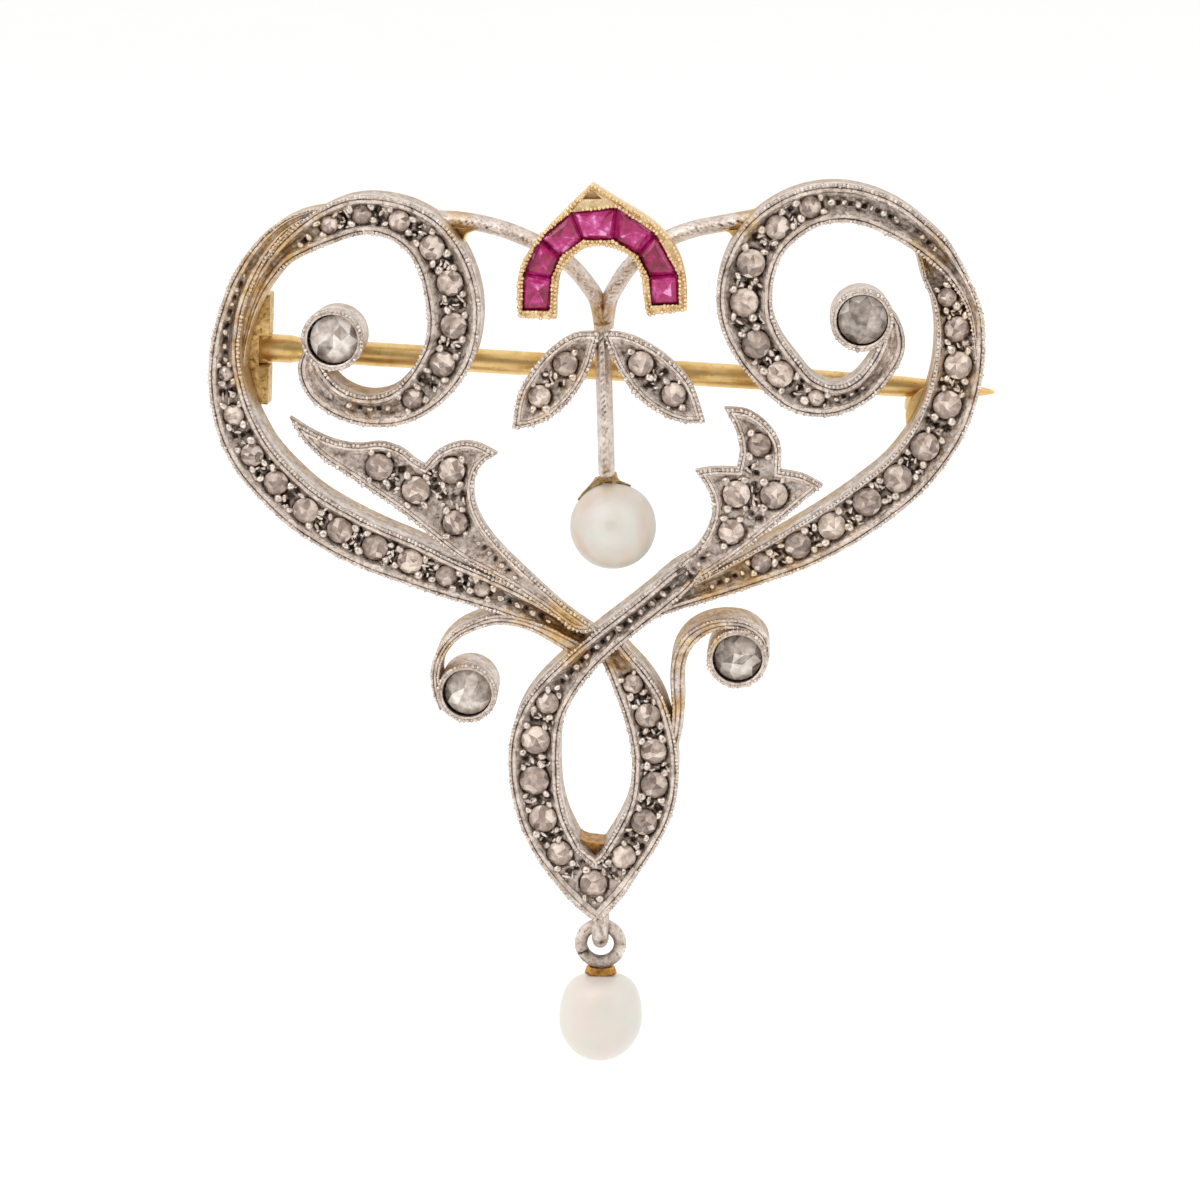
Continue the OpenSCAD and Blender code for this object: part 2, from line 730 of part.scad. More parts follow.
// Cap of the drop, hollowed by the ring's wire, which it follows as it sways.
module drop_cap() {
    saddle = ring_wire + 0.05;
    cap_z = drop_top - 0.08;
    color("goldenrod")
        difference() {
            translate([ring_at[0], ring_at[1], cap_z])
                scale([1, drop_cap_flat, 1])
                    cylinder(h = ring_at[2] - ring_mid - 0.1 - cap_z, r = drop_cap_round);
            translate(ring_at)
                rotate([90, 0, 0])
                    cylinder(h = 3, r = ring_mid + saddle, center = true);
            drop_form(gap);
        }
}

// Pearl with a broad shoulder and a rounder foot, grown by a clearance.
module drop_form(grow) {
    half_high = drop_high / 2 + grow;
    half_wide = drop_wide / 2 + grow;
    translate([ring_at[0], ring_at[1], drop_top - drop_high / 2])
        rotate_extrude()
            polygon(concat(
                [[0, -half_high]],
                [for (a = [-80 : 10 : 80]) [half_wide * pow(cos(a), a > 0 ? drop_shoulder : 1), half_high * sin(a)]],
                [[0, half_high]]));
}

module drop_pearl() {
    color("linen")
        drop_form(0);
}

// Frame of the pin: local X runs along the stem, local Z along the hinge.
module on_pin() {
    rotate([0, pin_lean, 0])
        children();
}

module hinge() {
    color("goldenrod")
        on_pin() {
            translate([hinge_x, 0, knuckle_tall / 2 + knuckle_play])
                cylinder(h = knuckle_top - knuckle_tall / 2 - knuckle_play, r = knuckle_round);
            translate([hinge_x, 0, knuckle_foot])
                cylinder(h = -knuckle_foot - knuckle_tall / 2 - knuckle_play, r = knuckle_round);
            translate([hinge_x, 0, knuckle_foot])
                cylinder(h = knuckle_top - knuckle_foot, r = rivet_round);
            translate([hinge_x - knuckle_round, back_y + gap, knuckle_tall / 2 + knuckle_play])
                cube([2 * knuckle_round, -back_y - gap, knuckle_top - knuckle_tall / 2 - knuckle_play]);
            translate([hinge_x - knuckle_round, back_y + gap, knuckle_foot])
                cube([2 * knuckle_round, -back_y - gap, -knuckle_foot - knuckle_tall / 2 - knuckle_play]);
            translate([hinge_x - hinge_plate, back_y + gap, knuckle_foot])
                cube([hinge_plate, plate_deep, knuckle_top - knuckle_foot]);
        }
}

module pin() {
    color("gold")
        on_pin()
            difference() {
                union() {
                    translate([hinge_x, 0, -knuckle_tall / 2])
                        cylinder(h = knuckle_tall, r = knuckle_round);
                    rotate([0, 90, 0])
                        rotate_extrude()
                            polygon([
                                [0, hinge_x],
                                [root_round, hinge_x],
                                [root_round, root_end - root_taper],
                                [pin_round, root_end],
                                [pin_round, taper_x],
                                [catch_stem[1], catch_stem[0]],
                                [point_stem[1], point_stem[0]],
                                [point_round, tip_x - point_round],
                                [0, tip_x]]);
                }
                translate([hinge_x, 0, -knuckle_tall])
                    cylinder(h = 2 * knuckle_tall, r = rivet_round + rivet_play);
            }
}

module catch() {
    color("goldenrod")
        on_pin()
            translate([catch_x, 0, 0])
                difference() {
                    intersection() {
                        union() {
                            rotate([0, 90, 0])
                                cylinder(h = catch_wide, r = catch_round);
                            translate([0, back_y + gap, catch_foot])
                                cube([catch_wide, plate_deep, -catch_foot]);
                        }
                        translate([catch_turn, 2, catch_turn_z])
                            rotate([90, 0, 0])
                                cylinder(h = 4, r = catch_turn);
                    }
                    translate([-1, 0, 0])
                        rotate([0, 90, 0])
                            cylinder(h = catch_wide + 2, r = catch_hole);
                    translate([-1, 0, -catch_mouth])
                        cube([catch_wide + 2, 3, 2 * catch_mouth]);
                    translate([-1, -3, catch_top])
                        cube([catch_wide + 2, 6, 3]);
                }
}

frame();
ruby_setting();
hinge();
catch();
pin();
pearl_cap();
upper_pearl();
jump_ring();
drop_cap();
drop_pearl();
collet_rose(0);  // collet_stone_1
collet_rose(1);  // collet_stone_2
collet_rose(2);  // collet_stone_3
collet_rose(3);  // collet_stone_4
calibre(0);  // ruby_1
calibre(1);  // ruby_2
calibre(2);  // ruby_3
calibre(3);  // ruby_4
calibre(4);  // ruby_5
calibre(5);  // ruby_6
calibre(6);  // ruby_7
stone_field(left_ring_rows, face_y + rim_high);  // left_ring_stones
stone_field(left_ribbon_rows, face_y + rim_high);  // left_ribbon_stones
stone_field(left_sprig_rows, face_y + rim_high);  // left_sprig_stones
stone_field(right_ring_rows, face_y + rim_high);  // right_ring_stones
stone_field(right_ribbon_rows, face_y + rim_high);  // right_ribbon_stones
stone_field(right_sprig_rows, face_y + rim_high);  // right_sprig_stones
stone_field(leaf_rows, face_y + rim_high + 0.2);  // leaf_stones
stone_field(loop_rows, face_y + rim_high);  // loop_stones
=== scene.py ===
import math
import random

import bmesh
import bpy
from mathutils import Matrix, Vector, noise


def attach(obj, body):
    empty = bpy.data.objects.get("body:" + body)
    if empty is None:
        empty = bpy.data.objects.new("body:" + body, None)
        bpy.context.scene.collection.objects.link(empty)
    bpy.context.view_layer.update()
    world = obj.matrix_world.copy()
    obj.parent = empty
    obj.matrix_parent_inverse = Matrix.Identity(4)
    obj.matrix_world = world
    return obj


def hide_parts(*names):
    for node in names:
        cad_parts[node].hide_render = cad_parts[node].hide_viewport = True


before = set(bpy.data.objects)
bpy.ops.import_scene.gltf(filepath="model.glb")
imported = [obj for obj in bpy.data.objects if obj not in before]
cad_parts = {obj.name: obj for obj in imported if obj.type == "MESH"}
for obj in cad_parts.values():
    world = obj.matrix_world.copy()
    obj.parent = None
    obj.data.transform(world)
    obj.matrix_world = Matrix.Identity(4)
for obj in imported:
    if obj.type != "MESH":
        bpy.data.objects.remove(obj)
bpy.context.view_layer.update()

# All tables are in millimetres, with the same values as the part. Every mesh is made in
# millimetres and brought to metres when it is finished. Y grows from the face to the back.
MM = 0.001
BACK = -1.2
FACE = -3.6
RIM_HIGH = 0.6
RIM_WIDE = 0.42
THIN_RIM = 0.24
LEAF_RIM = 0.34
GAP = 0.03
DROP_Y = -2.4

# Beds: depth under the face, floor that the stones stand on, how much lower the leaves' floor lies,
# points across a ribbon's bed, and the pitch of the points in a plate's bed.
BED_SUNK = 0.3
BED_FLOOR = FACE + RIM_HIGH
LEAF_LOWER = 0.2
BED_POINTS = 15
BED_PITCH = 0.11

# Ribbons: x, z, width of the face, dip of the face.
LEFT_RING = [
    (-14.15, 1.45, 0.6, 0.1), (-14.3, 0.55, 1.2, 0), (-13.9, -0.4, 1.5, 0), (-13.15, -1.1, 1.5, 0),
    (-12.1, -1.55, 1.5, 0), (-11.0, -1.65, 1.6, 0), (-9.9, -1.4, 1.8, 0), (-8.9, -0.75, 2.1, 0),
    (-8.05, 0.2, 2.35, 0), (-7.4, 1.4, 2.5, 0), (-7.15, 2.8, 2.6, 0), (-7.25, 4.2, 2.65, 0),
    (-7.65, 5.6, 2.5, 0), (-8.4, 6.8, 2.3, 0), (-9.5, 7.6, 2.05, 0), (-10.8, 7.98, 1.9, 0),
    (-12.0, 7.93, 1.9, 0), (-13.2, 7.5, 1.8, 0), (-14.4, 6.85, 1.5, 0.1), (-15.5, 6.05, 1.15, 0.25),
    (-16.4, 5.0, 0.95, 0.45), (-17.1, 3.8, 0.8, 0.7), (-17.6, 2.4, 0.65, 0.9),
    (-17.88, 1.1, 0.5, 1.0), (-17.95, -0.2, 0.4, 1.0)]
LEFT_RIBBON = [
    (-12.8, 8.22, 0.3, 0.5), (-14.1, 8.0, 0.45, 0.3), (-15.1, 7.58, 0.6, 0.12),
    (-15.95, 6.9, 0.8, 0.05), (-16.75, 5.95, 1.0, 0.02), (-17.5, 4.7, 1.15, 0.02),
    (-18.0, 3.5, 1.2, 0.02), (-18.35, 2.2, 1.35, 0.02), (-18.52, 1.0, 1.5, 0.02),
    (-18.5, -0.2, 1.75, 0.02), (-18.3, -1.5, 1.95, 0.02), (-17.9, -2.8, 2.15, 0.02),
    (-17.2, -4.15, 2.25, 0.02), (-16.1, -5.45, 2.3, 0.02), (-14.75, -6.7, 2.35, 0.02),
    (-13.1, -7.75, 2.4, 0.02), (-11.4, -8.6, 2.4, 0.02), (-9.6, -9.3, 2.3, 0.02),
    (-7.8, -10.05, 2.05, 0.02), (-6.0, -10.7, 1.8, 0.02), (-4.3, -11.4, 1.55, 0.1),
    (-2.7, -12.25, 1.35, 0.35), (-1.2, -13.1, 1.1, 0.72), (-0.2, -13.6, 0.8, 0.85)]
RIGHT_RING = [
    (13.95, 3.4, 0.4, 0.15), (14.2, 2.6, 1.0, 0), (14.15, 1.6, 1.3, 0), (13.62, 0.58, 1.3, 0),
    (12.87, -0.3, 1.3, 0), (11.9, -0.82, 1.38, 0), (10.9, -0.9, 1.68, 0), (9.75, -0.52, 2.05, 0),
    (8.8, 0.35, 2.3, 0), (7.85, 1.5, 2.45, 0), (7.2, 2.8, 2.6, 0), (7.0, 4.1, 2.7, 0),
    (7.2, 5.5, 2.6, 0), (7.8, 6.8, 2.4, 0), (8.85, 7.83, 2.2, 0), (10.1, 8.48, 2.0, 0),
    (11.5, 8.7, 1.85, 0), (12.85, 8.5, 1.75, 0), (14.12, 7.97, 1.7, 0), (15.32, 7.2, 1.5, 0),
    (16.45, 6.25, 1.3, 0), (17.4, 5.0, 0.9, 0), (18.05, 3.7, 0.65, 0), (18.35, 2.3, 0.55, 0.05),
    (18.45, 1.0, 0.4, 0.1)]
RIGHT_RIBBON = [
    (15.2, 6.95, 0.5, 1.0), (15.8, 6.15, 1.0, 0.7), (16.35, 5.3, 1.6, 0.4), (17.1, 4.2, 2.1, 0.1),
    (17.45, 3.0, 2.3, 0.02), (17.52, 1.8, 2.35, 0.02), (17.45, 0.6, 2.4, 0.02),
    (17.2, -0.7, 2.45, 0.02), (16.75, -2.05, 2.45, 0.02), (16.0, -3.4, 2.4, 0.02),
    (14.93, -4.75, 2.4, 0.02), (13.52, -5.97, 2.4, 0.02), (11.87, -7.17, 2.35, 0.02),
    (10.02, -8.27, 2.2, 0.02), (8.22, -9.17, 1.85, 0.02), (6.5, -10.0, 1.5, 0.1),
    (4.9, -10.75, 1.2, 0.35), (3.4, -11.45, 0.95, 0.7), (2.1, -12.15, 0.8, 0.8)]
LEFT_LOOP = [
    (-2.05, -24.7, 2.3, 0.04), (-2.8, -23.2, 2.4, 0.04), (-3.22, -21.7, 2.5, 0.04),
    (-3.38, -20.2, 2.6, 0.04), (-3.33, -18.7, 2.55, 0.04), (-3.02, -17.35, 2.3, 0.04),
    (-2.42, -16.2, 2.0, 0.04), (-1.62, -15.15, 1.7, 0.04), (-0.66, -14.1, 1.5, 0.04),
    (0.44, -13.1, 1.4, 0.04), (1.64, -12.1, 1.35, 0.04), (2.84, -11.1, 1.35, 0.04),
    (4.0, -10.05, 1.35, 0.04), (4.75, -9.35, 0.9, 0.06)]
RIGHT_LOOP = [
    (-0.1, -12.95, 1.1, 0.85), (0.95, -14.5, 1.6, 0.4), (1.6, -15.5, 2.0, 0.08),
    (2.15, -16.6, 2.25, 0.06), (2.52, -17.8, 2.3, 0.06), (2.75, -19.0, 2.35, 0.06),
    (2.8, -20.2, 2.4, 0.06), (2.7, -21.4, 2.4, 0.06), (2.38, -22.6, 2.35, 0.06),
    (1.8, -23.8, 2.3, 0.06), (1.1, -24.95, 2.25, 0.06)]

# Way from the upper bed of the left loop into the bed of the right sprig.
STEM_BED = [(3.62, -10.05), (4.0, -10.4), (5.9, -8.75), (5.2, -8.35)]

# Foot of the loop: the plate under its bed, the metal set back in its notch, and the line of each rim.
LOOP_FOOT = [
    (-3.05, -25.25), (-2.4, -26.15), (-1.6, -27.1), (-0.75, -27.95), (-0.15, -28.3), (0.5, -27.7),
    (1.25, -26.8), (2.05, -25.55), (0.16, -24.3), (-0.3, -24.83), (-1.07, -24.05)]
FOOT_NOTCH = [(-1.07, -24.05), (-0.7, -24.2), (-0.2, -24.26), (0.16, -24.3), (-0.3, -25.0)]
FOOT_RIMS = [
    [(-2.89, -25.12, 0.46, 0.04), (-2.24, -26.01, 0.5, 0.05), (-1.42, -26.95, 0.55, 0.05),
     (-0.6, -27.74, 0.58, 0.05), (-0.13, -28.08, 0.5, 0.05)],
    [(-0.15, -28.05, 0.5, 0.05), (0.33, -27.52, 0.58, 0.05), (1.05, -26.66, 0.55, 0.05),
     (1.86, -25.43, 0.46, 0.06)],
    [(-0.3, -25.3, 0.34, 0.05), (-0.32, -25.08, 0.4, 0.05), (-0.75, -24.72, 0.42, 0.05),
     (-1.21, -24.28, 0.42, 0.04)],
    [(0.32, -24.47, 0.42, 0.06), (0.03, -24.83, 0.4, 0.05), (-0.28, -25.06, 0.36, 0.05)]]

LEFT_CURL = [
    (-1.1, -13.85, 0.8, 0.4), (-2.4, -13.05, 0.7, 0.2), (-3.3, -12.6, 0.6, 0.12),
    (-4.3, -12.3, 0.55, 0.08), (-5.3, -12.25, 0.55, 0.08), (-6.3, -12.55, 0.5, 0.08),
    (-7.3, -13.1, 0.5, 0.08), (-8.0, -13.95, 0.5, 0.08), (-8.35, -15.0, 0.5, 0.08),
    (-8.3, -16.1, 0.45, 0.12), (-8.05, -17.0, 0.3, 0.14)]
RIGHT_CURL = [
    (3.65, -19.0, 0.5, 0.3), (3.85, -18.0, 0.6, 0.15), (3.95, -16.8, 0.65, 0.1),
    (3.9, -15.6, 0.7, 0.1), (3.92, -14.6, 0.72, 0.1), (4.15, -13.7, 0.72, 0.1),
    (4.7, -12.95, 0.7, 0.1), (5.55, -12.45, 0.6, 0.1), (6.5, -12.3, 0.55, 0.1),
    (7.4, -12.45, 0.5, 0.1), (8.1, -13.0, 0.45, 0.12), (8.35, -13.7, 0.36, 0.14),
    (8.3, -14.5, 0.24, 0.16)]

# Wires of the arch and stem of the fixed pearl: x, z.
LEFT_WIRE = [
    (-8.5, 7.6), (-7.2, 7.56), (-5.9, 7.37), (-4.8, 7.08), (-3.8, 6.7), (-3.0, 6.32), (-2.3, 5.88),
    (-1.5, 5.3), (-0.8, 4.5), (-0.25, 3.6), (0.0, 2.3)]
RIGHT_WIRE = [
    (8.3, 7.95), (7.1, 7.68), (5.4, 7.36), (4.4, 7.14), (3.3, 6.72), (2.3, 6.15), (1.4, 5.35),
    (0.8, 4.5), (0.35, 3.6), (0.15, 2.3)]
PEARL_STEM = [(0.02, 2.6), (0.1, 0.2), (0.18, -2.1), (0.25, -4.95)]

# Solder that fills the corner between each wire and its ring: corner, end on the wire, end on the ring.
SOLDERS = {
    "left": ((-7.6, 7.35), (-5.7, 7.2), (-6.74, 6.4)), "right": ((7.1, 7.45), (5.4, 7.25), (6.44, 6.62))}

# Outlines of leaves and sprigs: smooth runs between their sharp corners.
LEFT_LEAF = [
    [(0.0, 2.32), (-1.2, 2.25), (-2.3, 1.6), (-3.3, 0.5), (-4.05, -0.8), (-4.35, -2.5)],
    [(-4.35, -2.5), (-3.2, -2.3), (-2.2, -1.75), (-1.25, -0.75), (-0.55, 0.5), (0.0, 2.32)]]
RIGHT_LEAF = [
    [(0.1, 2.32), (1.2, 2.25), (2.4, 1.75), (3.5, 0.95), (4.5, -0.25), (5.15, -2.1)],
    [(5.15, -2.1), (4.0, -2.1), (2.8, -1.6), (1.75, -0.75), (0.85, 0.5), (0.1, 2.32)]]
LEFT_SPRIG = [
    [(-15.4, -2.0), (-14.3, -2.7), (-13.1, -3.2), (-12.0, -3.35), (-10.9, -3.25), (-9.9, -3.55),
     (-9.2, -4.1), (-8.75, -4.35)],
    [(-8.75, -4.35), (-8.0, -3.6), (-7.0, -3.2), (-6.1, -3.25), (-5.1, -3.75)],
    [(-5.1, -3.75), (-5.95, -4.4), (-6.3, -5.5), (-6.05, -6.8), (-5.1, -8.25), (-3.3, -10.05),
     (-1.65, -11.55), (-0.05, -12.7)],
    [(-0.05, -12.7), (-1.3, -12.75), (-3.0, -11.5), (-5.0, -10.2), (-7.0, -9.1), (-8.5, -7.9),
     (-10.0, -6.7), (-12.0, -5.3), (-13.9, -4.0), (-14.9, -2.9), (-15.4, -2.0)]]
RIGHT_SPRIG = [
    [(6.1, -1.35), (7.2, -1.45), (8.2, -2.1), (8.85, -3.1), (8.9, -4.45)],
    [(8.9, -4.45), (10.0, -4.65), (11.0, -5.15)],
    [(11.0, -5.15), (9.9, -6.1), (8.75, -7.15), (7.4, -8.3), (6.1, -9.3), (4.8, -10.2)],
    [(4.8, -10.2), (3.9, -9.3), (4.75, -8.4), (5.35, -7.4), (5.58, -6.3), (5.25, -5.3),
     (4.7, -4.5)],
    [(4.7, -4.5), (5.6, -4.35), (6.75, -4.35)],
    [(6.75, -4.35), (6.88, -3.4), (6.65, -2.4), (6.1, -1.35)]]

COLLETS = [(-13.15, 1.88), (12.72, 3.05), (-6.75, -16.1), (6.9, -14.1)]
COLLET_STONE = 1.28
COLLET_IN = 1.32
COLLET_OUT = 1.54
COLLET_BACK = BACK + 0.02
COLLET_FRONT = COLLET_BACK - 2.4
COLLET_SEAT = COLLET_FRONT + 0.85

# Round a collet: the circle of its beads, and how near ribbons and their milled edges come.
COLLET_MILL = 1.46
RIBBON_STOP = 1.44
EDGE_STOP = 1.9
ROSE_SIDES = 8

# Small rose cuts: x, z, radius.
ROSES = {
    "left_ring": [
        (-13.2, 7.5, 0.44), (-11.6, 7.98, 0.48), (-9.77, 7.7, 0.53), (-8.2, 6.42, 0.62),
        (-7.35, 4.7, 0.64), (-7.2, 2.6, 0.64), (-7.78, 0.7, 0.64), (-9.27, -1.04, 0.51)],
    "left_ribbon": [
        (-18.51, 0.15, 0.37), (-18.2, -1.95, 0.51), (-17.35, -3.95, 0.58), (-16.2, -5.35, 0.62),
        (-14.75, -6.75, 0.65), (-13.05, -7.75, 0.66), (-11.3, -8.6, 0.66), (-9.55, -9.3, 0.64),
        (-7.75, -10.05, 0.54), (-5.95, -10.7, 0.42)],
    "left_sprig": [
        (-11.0, -4.5, 0.68), (-9.2, -5.65, 0.7), (-7.4, -4.65, 0.66), (-7.25, -7.3, 0.62)],
    "right_ring": [
        (10.11, 8.48, 0.53), (8.55, 7.5, 0.6), (7.3, 5.75, 0.7), (7.0, 3.85, 0.7),
        (7.6, 1.8, 0.7), (8.8, 0.34, 0.66), (10.58, -0.82, 0.42)],
    "right_ribbon": [
        (16.8, 4.16, 0.46), (17.32, 2.63, 0.61), (17.45, 0.85, 0.68), (16.98, -1.1, 0.7),
        (15.95, -3.2, 0.72), (14.67, -4.8, 0.72), (13.2, -6.0, 0.72), (11.48, -7.25, 0.7),
        (9.83, -8.26, 0.67), (8.03, -9.15, 0.51)],
    "right_sprig": [
        (7.83, -3.2, 0.58), (6.75, -5.68, 0.68), (8.6, -5.72, 0.68), (6.51, -7.61, 0.64)],
    "leaf": [(-1.73, 0.73, 0.6), (-3.02, -0.9, 0.56), (1.98, 0.77, 0.62), (3.6, -0.76, 0.6)],
    "loop": [
        (1.65, -15.55, 0.5), (2.4, -17.2, 0.64), (2.71, -19.1, 0.66), (2.75, -20.9, 0.7),
        (2.24, -22.92, 0.68), (1.2, -24.82, 0.64), (-0.35, -26.3, 0.7), (-2.08, -24.67, 0.66),
        (-2.95, -22.8, 0.72), (-3.38, -20.75, 0.76), (-3.3, -18.6, 0.74), (-2.68, -16.62, 0.58)]}

# Beads cut where a bed holds no stones: x, z, radius.
LOOSE_BEADS = {
    "left_ring": [
        (-14.2, 6.9, 0.2), (-14.6, 6.5, 0.16), (-12.4, -1.4, 0.17), (-11.4, -1.55, 0.19),
        (-10.5, -1.5, 0.19), (-13.3, -0.95, 0.15)],
    "left_ribbon": [
        (-17.4, 5.0, 0.13), (-17.8, 4.3, 0.14), (-18.1, 3.6, 0.15), (-18.3, 2.9, 0.15),
        (-18.45, 2.2, 0.16), (-18.5, 1.5, 0.17), (-18.5, 0.85, 0.17), (-5.0, -11.15, 0.17),
        (-4.15, -11.5, 0.17), (-3.35, -11.9, 0.16), (-2.6, -12.3, 0.14)],
    "right_ring": [
        (11.1, 8.72, 0.2), (11.75, 8.72, 0.18), (12.4, 8.62, 0.19), (13.05, 8.45, 0.18),
        (13.65, 8.2, 0.18), (14.25, 7.9, 0.17), (15.5, 7.1, 0.16), (16.15, 6.5, 0.15),
        (11.55, -0.86, 0.17), (12.3, -0.6, 0.15), (12.85, -0.3, 0.13)],
    "right_ribbon": [(7.1, -9.7, 0.17), (6.35, -10.05, 0.15), (5.6, -10.4, 0.14)],
    "left_sprig": [(-6.1, -8.3, 0.17), (-5.55, -8.85, 0.16), (-4.95, -9.45, 0.16), (-4.3, -10.05, 0.15)],
    "loop": [
        (-2.15, -15.75, 0.19), (-1.7, -15.2, 0.18), (-1.2, -14.65, 0.18), (-0.68, -14.1, 0.18),
        (-0.15, -13.6, 0.17), (0.4, -13.12, 0.17), (0.95, -12.65, 0.17), (1.5, -12.2, 0.17),
        (2.05, -11.75, 0.17), (2.6, -11.3, 0.17), (3.15, -10.82, 0.17), (3.7, -10.33, 0.17),
        (-0.3, -27.3, 0.16), (0.02, -27.06, 0.13)],
    "right_sprig": [(4.35, -9.75, 0.17), (4.9, -9.25, 0.17), (5.4, -8.75, 0.17)]}

# Ruby arch: inner x and z, outer x and z of each joint between stones, and the outline of its plate.
RUBY_JOINTS = [
    (-2.45, 3.4, -3.8, 3.4), (-2.35, 5.0, -3.75, 5.2), (-1.9, 6.05, -2.95, 6.95),
    (-0.85, 6.85, -1.4, 8.2), (0.65, 6.85, 0.8, 8.45), (1.8, 6.15, 2.7, 7.2),
    (2.35, 5.1, 3.8, 5.2), (2.5, 3.7, 3.85, 3.75)]
ARCH_OUTSIDE = [
    [(-3.95, 3.02), (-4.05, 4.2), (-3.86, 5.55), (-3.1, 6.8), (-1.85, 8.15), (-0.4, 9.55)],
    [(-0.4, 9.55), (1.0, 8.7), (2.6, 7.7), (3.7, 6.4), (4.15, 5.0), (4.2, 3.45)],
    [(4.2, 3.45), (2.3, 3.2)],
    [(2.3, 3.2), (2.1, 4.2), (1.95, 5.3), (1.3, 6.2), (0.0, 6.6), (-1.1, 6.25), (-1.9, 5.3),
     (-2.1, 4.2), (-2.15, 3.0)],
    [(-2.15, 3.0), (-3.95, 3.02)]]
ARCH_BED = [joint[:2] for joint in RUBY_JOINTS] + [joint[2:] for joint in RUBY_JOINTS[::-1]]
ARCH_RECESS = [(-0.4, 9.3), (-0.86, 8.82), (0.1, 8.84)]
RUBY_HIGH = 0.75
RUBY_FLOOR = FACE + RUBY_HIGH
RUBY_TONES = [0.66, 0.5, 0.62, 0.66, 0.58, 0.34, 0.7]

PEARL_AT = Vector((0.6, DROP_Y, -7.58))
PEARL_ROUND = 2.18
BAIL_AT = Vector((-0.03, DROP_Y, -28.84))
RING_MID = 1.02
RING_WIRE = 0.34
RING_AT = BAIL_AT - Vector((0, 0, RING_MID + 0.06))
DROP_TOP = RING_AT.z - RING_MID - RING_WIRE - 0.5
DROP_HIGH = 4.6
DROP_WIDE = 4.4
# The way to the camera, for the cut through the pearl's cap.
TO_CAMERA = Vector((0.044, -0.973, 0.226))


# ---- curves and outlines

def unit(value):
    """A value kept between 0 and 1."""
    return min(1.0, max(0.0, value))


def noise_at(x, z, scale, row):
    """Smooth noise at a place, from -1 to 1. Each row is a pattern of its own."""
    return noise.noise(Vector((scale * x, row, scale * z)))


def left_of(run):
    """Unit way square to a run."""
    return Vector((-run.y, run.x))


def smooth(rows, steps):
    """Stations on a smooth curve through rows of numbers."""
    last = len(rows) - 1
    out = []
    for i in range(last):
        quad = list(zip(rows[max(i - 1, 0)], rows[i], rows[i + 1], rows[min(i + 2, last)]))
        for s in range(steps):
            t = s / steps
            out.append([
                b + (c - a) * t / 2 + (2 * a - 5 * b + 4 * c - d) * t * t / 2
                + (3 * b - a - 3 * c + d) * t ** 3 / 2 for a, b, c, d in quad])
    out.append(list(rows[last]))
    return out


def along(stations, i):
    """Unit direction of a row of stations, as x and z."""
    a, b = stations[max(i - 1, 0)], stations[min(i + 1, len(stations) - 1)]
    run = Vector((b[0] - a[0], b[1] - a[1]))
    return run.normalized()


def outline(runs, steps):
    """Closed outline of smooth runs that meet in sharp corners."""
    return [tuple(p[:2]) for run in runs for p in smooth(run, steps)[:-1]]


def area(points):
    """Signed area: above zero where the outline runs anticlockwise as seen from -Y."""
    return sum(a[0] * b[1] - b[0] * a[1] for a, b in zip(points, points[1:] + points[:1])) / 2


def edge_distance(p, points):
    """Distance from a point to a closed outline."""
    best = 1e9
    px, pz = p
    for (ax, az), (bx, bz) in zip(points, points[1:] + points[:1]):
        sx, sz = bx - ax, bz - az
        t = max(0.0, min(1.0, ((px - ax) * sx + (pz - az) * sz) / max(sx * sx + sz * sz, 1e-12)))
        best = min(best, (px - ax - sx * t) ** 2 + (pz - az - sz * t) ** 2)
    return math.sqrt(best)


def inside(p, points):
    """Whether a point is within a closed outline."""
    odd = False
    for a, b in zip(points, points[1:] + points[:1]):
        if (a[1] > p[1]) != (b[1] > p[1]):
            if p[0] < a[0] + (p[1] - a[1]) * (b[0] - a[0]) / (b[1] - a[1]):
                odd = not odd
    return odd


def drawn_in(points, inset):
    """The outline drawn in by a distance, with as many points; those that fall out join a neighbour."""
    if not inset:
        return points
    turn = 1 if area(points) > 0 else -1
    count = len(points)
    moved = []
    for i in range(count):
        a, b, c = Vector(points[i - 1]), Vector(points[i]), Vector(points[(i + 1) % count])
        first, second = (b - a).normalized(), (c - b).normalized()
        n1 = Vector((-first.y, first.x)) * turn
        n2 = Vector((-second.y, second.x)) * turn
        bisector = n1 + n2
        if bisector.length < 1e-6:
            bisector = n1
        bisector.normalize()
        reach = inset / max(0.3, bisector.dot(n1))
        place = b + bisector * reach
        good = inside(place, points) and edge_distance(place, points) > 0.93 * inset
        moved.append(tuple(place) if good or inset < 0 else None)
    kept = [i for i in range(count) if moved[i]]
    return [moved[min(kept, key=lambda k: min((k - i) % count, (i - k) % count))] for i in range(count)]


# ---- mesh tools

def ring_of(bm, places):
    """A closed ring of vertices."""
    ring = [bm.verts.new(p) for p in places]
    for a, b in zip(ring, ring[1:] + ring[:1]):
        bm.edges.new((a, b))
    return ring


def ring_edges(bm, ring):
    return [bm.edges.get((a, b)) for a, b in zip(ring, ring[1:] + ring[:1])]


def pull(bm, ring, places):
    """Draws a ring out to new places, with a band of faces behind it."""
    made = bmesh.ops.extrude_edge_only(bm, edges=ring_edges(bm, ring))
    fresh = {v for v in made["geom"] if isinstance(v, bmesh.types.BMVert)}
    out = []
    for old, place in zip(ring, places):
        new = next(e.other_vert(old) for e in old.link_edges if e.other_vert(old) in fresh)
        new.co = place
        out.append(new)
    return out


def cap(bm, ring):
    """Closes a ring with one face."""
    bmesh.ops.contextual_create(bm, geom=ring_edges(bm, ring))


